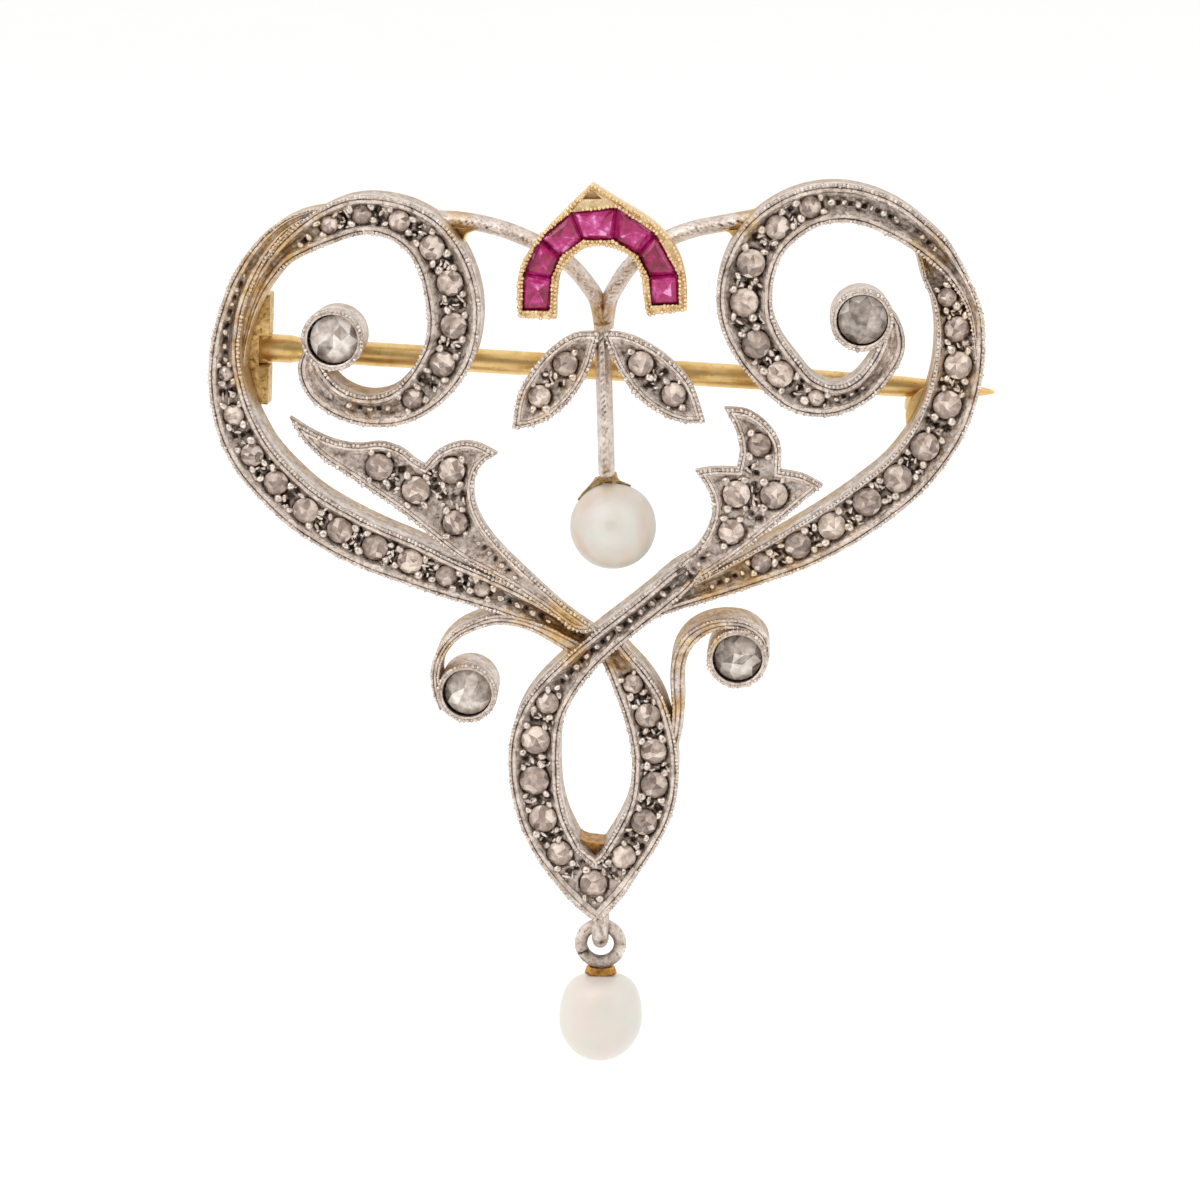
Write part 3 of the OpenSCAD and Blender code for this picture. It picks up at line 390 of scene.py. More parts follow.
def fill(bm, *rings):
    """Fills the flat area between rings."""
    edges = [e for ring in rings for e in ring_edges(bm, ring)]
    bmesh.ops.triangle_fill(bm, use_beauty=True, use_dissolve=False, edges=edges, normal=(0, -1, 0))


def at_depth(points, y):
    """The places of an outline at one depth."""
    return [Vector((x, y, z)) for x, z in points]


def loft(bm, rows, close=cap):
    """Draws a ring through rows of places, closes both ends, and returns the rings."""
    rings = [ring_of(bm, rows[0])]
    if close:
        close(bm, rings[0])
    for places in rows[1:]:
        rings.append(pull(bm, rings[-1], places))
    if close:
        close(bm, rings[-1])
    return rings


def spun(bm, places, axis, steps):
    """Turns a closed ring of places right round an axis."""
    ring = ring_of(bm, places)
    bmesh.ops.spin(bm, geom=ring + ring_edges(bm, ring), cent=(0, 0, 0), axis=axis,
                   angle=math.tau, steps=steps, use_merge=True)


def make(name, bm, finish, body="brooch", node="frame", angle=35, merge=1e-4):
    """Brings a mesh in millimetres to a finished piece in metres."""
    if merge:
        bmesh.ops.remove_doubles(bm, verts=bm.verts, dist=merge)
    bmesh.ops.recalc_face_normals(bm, faces=bm.faces)
    bmesh.ops.scale(bm, vec=(MM, MM, MM), verts=bm.verts)
    mesh = bpy.data.meshes.new(name)
    bm.to_mesh(mesh)
    bm.free()
    if angle:
        mesh.shade_smooth()
        mesh.set_sharp_from_angle(angle=math.radians(angle))
    mesh.materials.append(finish)
    piece = bpy.data.objects.new(name, mesh)
    bpy.context.scene.collection.objects.link(piece)
    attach(piece, body)
    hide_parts(node)
    return piece


# ---- materials

def node_of(tree, kind, values=None, **fields):
    """Shader node with its fields set, and its inputs set or linked."""
    node = tree.nodes.new(kind)
    for key, value in fields.items():
        setattr(node, key, value)
    for key, value in (values or {}).items():
        if isinstance(value, bpy.types.NodeSocket):
            tree.links.new(value, node.inputs[key])
        else:
            node.inputs[key].default_value = value
    return node


def place_of(tree):
    return node_of(tree, "ShaderNodeTexCoord").outputs["Object"]


def painted(tree, name):
    return node_of(tree, "ShaderNodeAttribute", attribute_name=name).outputs["Fac"]


def cloud(tree, grain, detail=3.0, stretch=None):
    """Noise whose patches are about one grain wide, in millimetres."""
    vector = place_of(tree)
    if stretch:
        vector = node_of(tree, "ShaderNodeMapping", {"Vector": vector, "Scale": stretch}).outputs["Vector"]
    return node_of(tree, "ShaderNodeTexNoise", {
        "Vector": vector, "Scale": 1 / (grain * MM), "Detail": detail, "Roughness": 0.6}).outputs["Fac"]


def fitted(tree, value, low, high, to_low=0.0, to_high=1.0):
    """A value brought from one span to another, and kept within it."""
    return node_of(tree, "ShaderNodeMapRange", {
        "Value": value, "From Min": low, "From Max": high, "To Min": to_low, "To Max": to_high}).outputs["Result"]


def mottled(tree, grain, detail, low, high, to_low=0.0, to_high=1.0, stretch=None):
    """Noise of a grain, brought from one span to another."""
    return fitted(tree, cloud(tree, grain, detail, stretch), low, high, to_low, to_high)


def worked_out(tree, operation, a, b, clamp=False):
    """Sum, product or greater of two values."""
    return node_of(tree, "ShaderNodeMath", {0: a, 1: b}, operation=operation, use_clamp=clamp).outputs[0]


def vector_of(tree, operation, output, *values):
    """Result of a sum on vectors."""
    return node_of(tree, "ShaderNodeVectorMath", dict(enumerate(values)), operation=operation).outputs[output]


def blended(tree, share, a, b):
    """Colour between two colours."""
    a, b = (c if isinstance(c, bpy.types.NodeSocket) else (*c, 1) for c in (a, b))
    return node_of(tree, "ShaderNodeMix", {0: share, 6: a, 7: b}, data_type="RGBA").outputs[2]


def ramped(tree, value, stops, interpolation="LINEAR"):
    """Colour at a value, from the colours at some values between 0 and 1."""
    ramp = node_of(tree, "ShaderNodeValToRGB", {"Fac": value})
    ramp.color_ramp.interpolation = interpolation
    elements = ramp.color_ramp.elements
    elements[0].color, elements[1].color = (*stops[0], 1), (*stops[1], 1)
    for at, colour in stops.items():
        if 0 < at < 1:
            elements.new(at).color = (*colour, 1)
    return ramp.outputs["Color"]


def bump(tree, height, depth, strength):
    """Normal of a relief whose depth is in millimetres."""
    return node_of(tree, "ShaderNodeBump", {
        "Height": height, "Distance": depth * MM, "Strength": strength}).outputs["Normal"]


def new_finish(name, metallic, rough, **sockets):
    """Material, its nodes, and a function that links a value to an input of its shader."""
    finish = bpy.data.materials.new(name)
    finish.use_nodes = True
    tree = finish.node_tree
    shader = tree.nodes["Principled BSDF"]
    for key, value in {"Metallic": metallic, "Roughness": rough, **sockets}.items():
        shader.inputs[key.replace("_", " ")].default_value = value

    def link(key, value):
        tree.links.new(value, shader.inputs[key])
    return finish, tree, link


def aged_white_metal():
    """Worn platinum over gold: pale rims, crevices dark with soil and painted shade, gold where the topping ends.
    """
    finish, tree, link = new_finish("aged_white_metal", 1.0, 0.36)
    patches = mottled(tree, 0.8, 4, 0.35, 0.68)
    specks = worked_out(tree, "MULTIPLY", mottled(tree, 0.09, 3, 0.56, 0.68), 0.8)
    pits = worked_out(tree, "MAXIMUM", mottled(tree, 0.2, 4, 0.53, 0.68), specks)
    pale = blended(tree, patches, (0.88, 0.775, 0.70), (0.60, 0.495, 0.42))
    pale = blended(tree, worked_out(tree, "MULTIPLY", pits, 0.7), pale, (0.22, 0.15, 0.11))
    gold = blended(tree, patches, (0.74, 0.53, 0.27), (0.50, 0.30, 0.12))
    uneven = mottled(tree, 0.5, 3, 0.3, 0.7, -0.3, 0.3)
    warm = fitted(tree, worked_out(tree, "ADD", painted(tree, "warmth"), uneven), 0.25, 0.95)
    metal = blended(tree, warm, pale, gold)
    dark = blended(tree, warm, (0.085, 0.055, 0.04), (0.17, 0.085, 0.035))
    darkness = worked_out(tree, "MULTIPLY", painted(tree, "tarnish_and_shade"),
                      mottled(tree, 0.25, 4, 0.3, 0.7, 0.45, 1.4), clamp=True)
    link("Base Color", blended(tree, darkness, metal, dark))
    link("Roughness", fitted(tree, worked_out(tree, "ADD", cloud(tree, 0.25), darkness), 0.3, 1.6, 0.28, 0.65))
    link("Normal", bump(tree, cloud(tree, 0.2, 5), 0.1, 0.9))
    return finish


def bright_white_metal():
    """Milled beads and grains, worn pale, with soil in their hollows."""
    finish, tree, link = new_finish("burnished_beads", 1.0, 0.32)
    pale = blended(tree, mottled(tree, 0.35, 4, 0.38, 0.68), (0.88, 0.79, 0.72), (0.50, 0.41, 0.34))
    metal = blended(tree, fitted(tree, painted(tree, "warmth"), 0.2, 1.0), pale, (0.74, 0.58, 0.36))
    darkness = mottled(tree, 0.16, 3, 0.52, 0.7, 0, 0.8)
    link("Base Color", blended(tree, darkness, metal, (0.16, 0.11, 0.09)))
    link("Normal", bump(tree, cloud(tree, 0.1, 3), 0.04, 0.8))
    return finish


def yellow_gold():
    """Soft polished gold with a brown bloom and fine scratches."""
    finish, tree, link = new_finish("yellow_gold", 1.0, 0.3)
    gold = blended(tree, mottled(tree, 1.2, 4, 0.42, 0.75), (0.80, 0.57, 0.25), (0.62, 0.37, 0.11))
    specks = worked_out(tree, "MULTIPLY", mottled(tree, 0.22, 3, 0.6, 0.72), 0.45)
    link("Base Color", blended(tree, specks, gold, (0.30, 0.14, 0.04)))
    link("Roughness", mottled(tree, 0.5, 3, 0.3, 0.7, 0.3, 0.46))
    link("Normal", bump(tree, cloud(tree, 0.5, 3, stretch=(0.15, 3.0, 3.0)), 0.02, 0.5))
    return finish


def soiled_gold(name, light, dark):
    """Gold of the caps, the solder at the foot and the hinge, brown with age."""
    finish, tree, link = new_finish(name, 1.0, 0.36)
    gold = blended(tree, mottled(tree, 0.5, 4, 0.38, 0.66), light, dark)
    darkness = mottled(tree, 0.18, 3, 0.52, 0.68, 0, 0.8)
    link("Base Color", blended(tree, darkness, gold, (0.13, 0.06, 0.02)))
    link("Normal", bump(tree, cloud(tree, 0.2, 4), 0.06, 0.8))
    return finish


def milled_gold():
    """Grained gold of the ruby setting, dark with soil and painted shade in the cuts and under the rubies."""
    finish, tree, link = new_finish("milled_gold", 1.0, 0.36)
    gold = blended(tree, mottled(tree, 0.35, 4, 0.35, 0.7), (0.95, 0.76, 0.47), (0.70, 0.47, 0.22))
    darkness = worked_out(tree, "MULTIPLY", painted(tree, "tarnish_and_shade"),
                      mottled(tree, 0.2, 3, 0.3, 0.7, 0.6, 1.2), clamp=True)
    link("Base Color", blended(tree, darkness, gold, (0.2, 0.045, 0.03)))
    link("Normal", bump(tree, cloud(tree, 0.18, 4), 0.09, 0.9))
    return finish


def rose_cut_finish(name, dark, middle, light, rough):
    """Cut diamond whose facets each have their own tone, which stands in for the facets' reflections: painted
    highlights and shade over the stone's colour.
    """
    finish, tree, link = new_finish(name, 0.0, rough, IOR=2.2, Specular_IOR_Level=0.28)
    uneven = mottled(tree, 0.4, 4, 0.3, 0.7, -0.27, 0.27)
    tone = worked_out(tree, "ADD", painted(tree, "facet_tone_and_light"), uneven, clamp=True)
    link("Base Color", ramped(tree, tone, {0: dark, 0.5: middle, 1: light}))
    link("Roughness", mottled(tree, 0.3, 3, 0.3, 0.7, rough, rough + 0.1))
    return finish


def ruby_finish():
    """Pinkish red ruby with paler facets and silk inside; the facet tones stand for its reflections: painted
    highlights on the paler facets, painted shade on the darker.
    """
    finish, tree, link = new_finish("ruby", 0.0, 0.1, IOR=1.77, Specular_IOR_Level=0.3)
    silk = mottled(tree, 0.45, 5, 0.35, 0.68, -0.26, 0.26)
    tone = worked_out(tree, "ADD", painted(tree, "facet_tone_and_light"), silk, clamp=True)
    link("Base Color", ramped(tree, tone, {
        0: (0.10, 0.001, 0.015), 0.35: (0.29, 0.005, 0.06), 0.65: (0.44, 0.016, 0.15),
        0.85: (0.58, 0.08, 0.30), 1: (0.80, 0.33, 0.60)}))
    link("Roughness", mottled(tree, 0.3, 3, 0.3, 0.7, 0.06, 0.2))
    return finish


GREEN_SHEEN = (0.62, 0.67, 0.585)
PINK_SHEEN = (0.70, 0.59, 0.59)


def pearl_finish(name, colour_and_shade_bands, shade, at, ringed):
    """Pearl whose bands of colour, with painted light and shade, drift into each other: from its left edge to its
    right, or ring by ring.
    """
    finish, tree, link = new_finish(name, 0.0, 0.38, Coat_Weight=0.25, Coat_Roughness=0.3)
    away = vector_of(tree, "SUBTRACT", 0, place_of(tree), at * MM)
    place = node_of(tree, "ShaderNodeSeparateXYZ", {0: away}).outputs["X"]
    reach = -2.25 * MM, 2.25 * MM
    if ringed:
        # Painted light and shade in rings round the middle of the pearl, in the plane that the camera looks at.
        height = vector_of(tree, "DOT_PRODUCT", "Value", away, (0, 0.25, 0.97))
        flat = node_of(tree, "ShaderNodeCombineXYZ", {0: place, 1: height}).outputs[0]
        place = vector_of(tree, "LENGTH", "Value", flat)
        reach = 0, 2.2 * MM
    across = worked_out(tree, "ADD", fitted(tree, place, *reach),
                        mottled(tree, 1.6, 2, 0.3, 0.7, -0.07, 0.07), clamp=True)
    body = ramped(tree, across, {k / (len(colour_and_shade_bands) - 1): band for k, band in enumerate(colour_and_shade_bands)}, "EASE")
    for grain, detail, low, high, most, stretch, tint in (
            (2.1, 2, 0.45, 0.75, 0.5, (1, 1, 2), shade), (1.1, 1, 0.5, 0.66, 0.4, (1, 1, 0.6), GREEN_SHEEN),
            (1.3, 1, 0.5, 0.66, 0.4, None, PINK_SHEEN)):
        body = blended(tree, mottled(tree, grain, detail, low, high, 0, most, stretch), body, tint)
    link("Base Color", body)
    link("Roughness", mottled(tree, 0.5, 3, 0.3, 0.7, 0.34, 0.46))
    link("Normal", bump(tree, cloud(tree, 0.6, 2), 0.01, 0.2))
    return finish


def floor_finish():
    finish, tree, link = new_finish("pale_floor", 0.0, 0.8)
    link("Base Color", blended(tree, cloud(tree, 40, 3), (0.99, 0.99, 0.988), (0.975, 0.975, 0.972)))
    return finish


# ---- pieces of the frame

# Places where gold or brown shows on the topping: x, z, reach, strength.
GOLD_SPOTS = [
    (-15.4, 6.6, 2.2, 0.8), (-16.8, 5.2, 2.0, 0.7), (-17.6, 3.6, 2.2, 0.55), (-13.6, 7.6, 1.6, 0.45),
    (-18.3, 1.4, 2.4, 0.4), (-17.4, 0.6, 2.4, 0.42), (-16.8, 4.2, 1.3, 0.9), (-17.2, 2.8, 1.2, 0.9),
    (-17.5, 1.4, 1.2, 0.9), (-17.5, 0.0, 1.1, 0.9), (-1.9, -12.4, 1.8, 1.0), (-3.6, -12.0, 1.6, 0.6),
    (-5.2, -9.9, 2.0, 0.4),
    (9.6, -8.9, 2.2, 0.6), (7.4, -9.8, 2.0, 0.8), (5.6, -10.6, 1.8, 0.7), (12.2, -7.4, 1.8, 0.4),
    (-7.0, 7.4, 0.9, 0.7), (7.2, 7.5, 0.9, 0.7), (0.9, -14.5, 1.0, 0.9), (3.7, -16.6, 1.0, 0.9),
    (4.2, -13.8, 1.8, 0.6), (-0.1, 3.1, 1.0, 0.8), (15.8, 6.2, 1.6, 0.6), (-1.4, -13.9, 1.2, 0.9),
    (17.4, 3.4, 2.4, 0.5), (17.3, 0.4, 2.6, 0.5), (16.2, -3.2, 2.2, 0.35), (-11.4, -1.6, 2.0, 0.4),
    (-3.2, -1.2, 1.8, 0.4), (-7.4, -14.1, 1.0, 0.9), (5.6, -13.0, 1.3, 0.8), (-1.6, 0.6, 1.8, 0.45)]


def gold_at(x, z):
    """How much gold shows at a place."""
    best = 0.0
    for sx, sz, reach, strength in GOLD_SPOTS:
        near = math.hypot(x - sx, z - sz) / reach
        if near < 1:
            best = max(best, strength * (1 - near * near))
    return best


def layers(bm):
    """The layers that hold how dark a mesh is with soil and painted shade, and how golden it is."""
    made = bm.verts.layers.float
    return [made.get(name) or made.new(name) for name in ("tarnish_and_shade", "warmth")]


# A rim from its outer edge to the bed: share of the rim in, depth under the face, tarnish with painted shade in
# its groove and down its outer wall, warmth.
RIM_PROFILE = [
    (0.0, 1.3, 0.35, 0.45), (0.0, 1.05, 0.4, 0.25), (0.0, 0.8, 0.15, 0.1), (0.0, 0.3, 0.1, 0.0),
    (0.0, 0.14, 0.5, 0.0), (0.09, 0.03, 0.12, 0.0), (0.34, 0.015, 0.1, 0.0), (0.43, 0.07, 0.75, 0.0),
    (0.54, 0.015, 0.1, 0.0), (0.86, 0.03, 0.0, 0.0), (1.0, 0.1, 0.25, 0.0)]

# The rim of a leaf or sprig from its back to its bed: distance in, depth under the face, tarnish with painted
# shade in its groove and at the foot of its inner wall, warmth.
PLATE_PROFILE = [
    (0.3, 1.1, 0.4, 1.0), (0.3, 0.76, 0.4, 1.0), (0.0, 0.72, 0.3, 0.6), (0.0, 0.3, 0.15, 0.0),
    (0.0, 0.14, 0.65, 0.0), (0.035, 0.03, 0.35, 0.0), (0.13, 0.015, 0.05, 0.0), (0.16, 0.06, 0.5, 0.0),
    (0.19, 0.02, 0.05, 0.0), (0.3, 0.05, 0.0, 0.0), (0.34, 0.12, 0.1, 0.0),
    (0.36, RIM_HIGH - 0.08, 0.9, 0.2), (0.4, RIM_HIGH, 1.0, 0.1)]

# The wall of a collet, from the back over its lip to the seat and back: radius, Y, tarnish with painted shade on
# the inner wall and seat round the stone, warmth.
COLLET_PROFILE = [
    (COLLET_OUT - 0.05, COLLET_BACK, 0.3, 0.5), (COLLET_OUT - 0.02, COLLET_FRONT + 1.2, 0.15, 0.2),
    (COLLET_OUT, COLLET_FRONT + 0.9, 0.15, 0.1), (COLLET_OUT, COLLET_FRONT + 0.12, 0.05, 0.0),
    (COLLET_OUT - 0.03, COLLET_FRONT + 0.03, 0.0, 0.0), (COLLET_OUT - 0.1, COLLET_FRONT, 0.05, 0.0),
    (COLLET_OUT - 0.15, COLLET_FRONT + 0.03, 0.3, 0.0), (COLLET_IN, COLLET_FRONT + 0.02, 0.0, 0.0),
    (COLLET_IN - 0.07, COLLET_FRONT + 0.06, 0.2, 0.0), (COLLET_IN - 0.05, COLLET_FRONT + 0.2, 0.8, 0.0),
    (COLLET_IN, COLLET_SEAT, 1.0, 0.0), (COLLET_STONE - 0.3, COLLET_SEAT + 0.02, 1.0, 0.0),
    (COLLET_STONE - 0.35, COLLET_BACK, 0.7, 0.8)]


def rims_of(width, near):
    """Widths of the near and the far rim of a ribbon, less where the ribbon is narrow."""
    return min(near, 0.38 * width), min(RIM_WIDE, 0.38 * width)


def both_sides(half):
    """A whole section from its left half, whose rows start with the place across."""
    return half + [(-across, *rest) for across, *rest in half[::-1]]


def channel_section(width, dip, near):
    """Across, Y, tarnish with painted shade, warmth and whether it is bed, round the section of a ribbon."""
    half, top = width / 2, FACE + dip
    near, far = rims_of(width, near)
    sunk = 0.05 + (BED_SUNK - 0.05) * unit((width - 0.7) / 0.6)
    left, right = (
        [(side * half, BACK, 0.4, 0.7, 0)]
        + [(side * (half - share * rim), top + deep, t, w, 0) for share, deep, t, w in RIM_PROFILE]
        for side, rim in ((-1, near), (1, far)))
    low, high = -half + near, half - far
    slope = min(0.26, 0.3 * (high - low))
    bed = []
    # The bed is painted darker away from the rims, where it lies deeper: painted shade with soil.
    for k in range(BED_POINTS):
        across = low + (high - low) * (k + 0.5) / BED_POINTS
        share = min(1.0, min(across - low, high - across) / slope)
        bed.append((across, top + min(0.1, sunk) + max(0.0, sunk - 0.1) * share, 0.25 + 0.38 * share, 0.0, 1))
    return left + bed + right[::-1]


def strip_section(width, dip):
    """Section of a strip on edge, with a rounded milled face."""
    half, top = width / 2, FACE + dip
    # The third column is tarnish with painted shade, in the groove of the face and darker down the sides.
    side = [(0.0, BACK + 0.05, 0.4, 0.8), (0.0, top + 0.9, 0.35, 0.6), (0.0, top + 0.6, 0.12, 0.3),
            (0.0, top + 0.12, 0.04, 0.0), (0.05, top + 0.02, 0.0, 0.0), (0.15, top, 0.05, 0.0),
            (0.2, top + 0.05, 0.5, 0.0), (0.25, top, 0.05, 0.0)]
    edge = min(1.0, half / 0.3)
    return both_sides([(-half + inset * edge, y, t, w, 0) for inset, y, t, w in side])


def rim_section(width, dip):
    """Section of a single rim that stands on a bed."""
    half, top = width / 2, FACE + dip
    # The third column is tarnish with painted shade at the foot of each wall and in the groove.
    rows = [(-1, RIM_HIGH + 0.1, 0.7), (-1, 0.14, 0.05), (-0.7, 0.02, 0.0), (-0.1, 0.02, 0.05),
            (0.05, 0.06, 0.5), (0.2, 0.02, 0.05), (1, 0.12, 0.15), (1, RIM_HIGH + 0.1, 0.9)]
    return [(share * half, top + deep, t, 0.0, 0) for share, deep, t in rows]


def away_from_collets(x, z):
    """Keeps a place out of the collets, inside their walls."""
    for cx, cz in COLLETS:
        gap = math.hypot(x - cx, z - cz)
        if gap < RIBBON_STOP:
            return cx + (x - cx) * RIBBON_STOP / max(gap, 0.01), cz + (z - cz) * RIBBON_STOP / max(gap, 0.01)
    return x, z


def neighbours(stones):
    """Stones side by side: place and radius of one, radius of the next, room between, way to the next."""
    out = []
    for (ax, az, ar), (bx, bz, br) in zip(stones, stones[1:]):
        gap = math.hypot(bx - ax, bz - az)
        if gap <= ar + br + 1.5:
            out.append((Vector((ax, az)), ar, br, gap - ar - br, Vector((bx - ax, bz - az)) / gap))
    return out


def cut_pits(rng, stones, beads):
    """Cuts at the corners between neighbouring stones, and between beads, painted dark as shade in their hollows:
    x, z, size, turn.
    """
    pits = []
    for at, ar, br, room, run in neighbours(stones):
        middle = at + run * (ar + room / 2)
        for side in (-1, 1):
            reach = (ar + br) / 2 * rng.uniform(0.6, 0.85) * side
            along_it = rng.uniform(-0.12, 0.12)
            spot = middle + left_of(run) * reach + run * along_it
            size, turn = rng.uniform(0.12, 0.2), math.atan2(run.y, run.x) + rng.uniform(0.3, 1.2)
            pits.append((spot.x, spot.y, size, turn))
        if room > 0.45:
            pits.append((middle.x, middle.y, rng.uniform(0.1, 0.15), rng.uniform(0, 1.5)))
    for (ax, az, ar), (bx, bz, br) in zip(beads, beads[1:]):
        if math.hypot(bx - ax, bz - az) < 1.4:
            pits.append(((ax + bx) / 2, (az + bz) / 2, 0.55 * ar, math.atan2(bz - az, bx - ax)))
    return pits


def bed_relief(stones, pits):
    """Returns how much deeper a bed is at a place, and how dark with soil and painted shade: a painted shadow
    round each stone, wider to its lower right, and painted shade in the cuts.
    """
    def at(x, z):
        lumps = noise_at(x, z, 4.3, 8.0)
        deeper = 0.07 * noise_at(x, z, 1.7, 3.0) + 0.11 * lumps
        darkness = max(0.0, 0.5 * noise_at(x, z, 2.3, 21.0) + 0.9 * lumps)
        for sx, sz, radius in stones:
            if abs(x - sx) < 1.2 and abs(z - sz) < 1.2:
                # Painted shadow round the stone, wider to its lower right.
                gap = math.hypot(x - sx - 0.03, z - sz + 0.03) - radius
                share = unit((0.15 - gap) / 0.09)
                deeper = max(deeper, 0.15 * share)
                darkness = max(darkness, 0.95 * share)
        for px, pz, size, turn in pits:
            if abs(x - px) < 0.5 and abs(z - pz) < 0.5:
                u = (x - px) * math.cos(turn) + (z - pz) * math.sin(turn)
                v = (z - pz) * math.cos(turn) - (x - px) * math.sin(turn)
                # The cut is painted dark: painted shade in its hollow.
                share = unit((size - max(abs(u), abs(v))) / 0.07 + 0.4)
                deeper = max(deeper, 0.24 * share)
                darkness = max(darkness, share)
        return deeper, darkness
    return at


def sweep(bm, stations, section_at, relief=None, sunk_in=None):
    """Draws a section along stations and closes both ends. Metal within sunk_in lies under the bed."""
    rows, soil_and_shade_values, warmths = [], [], []
    for i, station in enumerate(stations):
        run = along(stations, i)
        section = section_at(station)
        thin_end = station[3] > 0.4 and station[2] < 0.9
        rows.append([])
        for across, y, darkness, warm, bed in section:
            x, z = away_from_collets(station[0] - run.y * across, station[1] + run.x * across)
            if relief and bed:
                # The relief deepens the bed and darkens it with soil and painted shade.
                deeper, more = relief(x, z)
                y += deeper * min(1.0, max(0.3, (station[2] - 0.5) / 0.8))
                darkness = min(1.0, max(more, darkness + 0.5 * more))
                clear = min(math.hypot(x - cx, z - cz) for cx, cz in COLLETS)
                darkness *= min(1.0, max(0.15, (clear - EDGE_STOP) / 1.5))
            elif y < FACE + 0.5:
                y += 0.035 * noise_at(x, z, 2.9, 5.0)
                darkness *= max(0.25, 0.85 + 1.3 * noise_at(x, z, 1.2, 31.0))
                darkness = min(1.0, darkness + max(0.0, 0.9 * noise_at(x, z, 1.9, 14.0) - 0.1))
            if thin_end:
                darkness *= 0.3
            if sunk_in and inside((x, z), sunk_in) and y < FACE + BED_SUNK:
                y, darkness = FACE + BED_SUNK + 0.1, 0.6
            rows[-1].append(Vector((x, y, z)))
            soil_and_shade_values.append(darkness)
            warmths.append(warm)
    tarnish_and_shade, warmth = layers(bm)
    verts = [vert for ring in loft(bm, rows) for vert in ring]
    for vert, darkness, warm in zip(verts, soil_and_shade_values, warmths):
        vert[tarnish_and_shade] = darkness
        share = 2.0 if warm else 1.0
        vert[warmth] = min(1.0, warm + share * gold_at(vert.co.x, vert.co.z))


def ribbon(name, rows, finish, near, level, relief, sunk_in):
    """Ribbon whose flat back lies a level in front of the common back, so that crossing ribbons differ."""
    bm = bmesh.new()
    sweep(bm, smooth(rows, 14), lambda s: channel_section(s[2], s[3], near), relief, sunk_in)
    for v in bm.verts:
        v.co.y = min(v.co.y, BACK - level)
    return make(name, bm, finish)


def strip(name, rows, finish, section=strip_section):
    bm = bmesh.new()
    sweep(bm, smooth(rows, 8), lambda s: section(s[2], s[3]))
    return make(name, bm, finish)


def bed_slab(name, points, rim, top, relief, finish, soiled_and_shaded=0.22):
    """Bed between the rims of a plate, worked over with cuts round its stones."""
    xs, zs = [p[0] for p in points], [p[1] for p in points]
    left, wide = min(xs), max(xs) - min(xs)
    low, tall = min(zs), max(zs) - min(zs)
    bm = bmesh.new()
    bmesh.ops.create_grid(bm, x_segments=int(wide / BED_PITCH), y_segments=int(tall / BED_PITCH), size=0.5)
    tarnish_and_shade, warmth = layers(bm)
    outside = set()
    for v in bm.verts:
        x, z = left + (v.co.x + 0.5) * wide, low + (v.co.y + 0.5) * tall
        gap = edge_distance((x, z), points) if inside((x, z), points) else -1.0
        if gap < rim - 0.14:
            outside.add(v)
            v.co = (x, top, z)
            continue
        # Darker away from the rims, where the bed lies deeper: painted shade with soil.
        share = unit((gap - rim) / 0.24)
        deeper, darkness = relief(x, z)
        v.co = (x, top + 0.12 + (BED_SUNK - 0.12) * share + deeper * min(1.0, 0.3 + share), z)
        v[tarnish_and_shade] = min(1.0, max(darkness, 0.1 + soiled_and_shaded * share + 0.5 * darkness))
        v[warmth] = gold_at(x, z)
    bmesh.ops.delete(bm, geom=[f for f in bm.faces if any(v in outside for v in f.verts)], context="FACES")
    bmesh.ops.delete(bm, geom=[v for v in bm.verts if not v.link_faces], context="VERTS")
    backed = bmesh.ops.extrude_face_region(bm, geom=bm.faces[:])
    for v in backed["geom"]:
        if isinstance(v, bmesh.types.BMVert):
            v.co.y = top + RIM_HIGH + 0.02
    return make(name, bm, finish)


def pearls_along(stations, across, pitch):
    """Evenly spaced places along stations, off the middle by a distance that may change."""
    out = []
    spare = pitch / 2
    line = []
    for i, s in enumerate(stations):
        run = along(stations, i)
        off = across(s)
        line.append((Vector((s[0] - run.y * off, s[1] + run.x * off)), run, s))
    for (a, run, s), (b, _, _) in zip(line, line[1:]):
        length = (b - a).length
        while spare <= length and length > 1e-6:
            out.append((a.lerp(b, spare / length), run, s))
            spare += pitch
        spare -= length
    return out


def bead(bm, at, radius, run=None, wide=1.0, levels=1):
    """A bead, drawn out across its edge by a share."""
    turn = Matrix.Rotation(-math.atan2(run.y, run.x), 4, "Y") if run is not None else Matrix.Identity(4)
    shape = Matrix.Diagonal((1.0, 1.0, wide, 1.0))
    bmesh.ops.create_icosphere(bm, subdivisions=levels, radius=radius,
                               matrix=Matrix.Translation(at) @ turn @ shape)


def paint_gold(bm):
    """Gives beads the gold of the place where they sit."""
    _, warmth = layers(bm)
    for vert in bm.verts:
        vert[warmth] = gold_at(vert.co.x, vert.co.z)


def on_edge(side, tapering=False):
    """Returns how far off the middle the beads on one edge of a ribbon sit. Side 0 is the middle."""
    return lambda s: side * (s[2] / 2 - 0.08 * (min(1, s[2]) if tapering else 1))


def milled_edge(name, lines, finish, rng, pitch=0.2, radius=0.1, lift=0.04, node="frame"):
    """Milled beads along lines, a lift under the face. Each line gives stations and a distance across."""
    bm = bmesh.new()
    for stations, across in lines:
        for at, run, s in pearls_along(stations, across, pitch):
            size = radius * rng.uniform(0.72, 1.16) * min(1.0, 0.55 + s[2])
            if rng.random() < 0.05:
                continue
            at = at + left_of(run) * rng.uniform(-0.025, 0.025)
            y = FACE + s[3] + lift + rng.uniform(-0.02, 0.03)
            bead(bm, Vector((at.x, y, at.y)), size, run, rng.uniform(0.9, 1.35))
    paint_gold(bm)
    return make(name, bm, finish, node=node, angle=180, merge=0)


def ring_stations(points, dip=0.0, closed=True):
    """An outline as stations of a constant width."""
    return [(x, z, 1.0, dip) for x, z in list(points) + [points[0]] * closed]


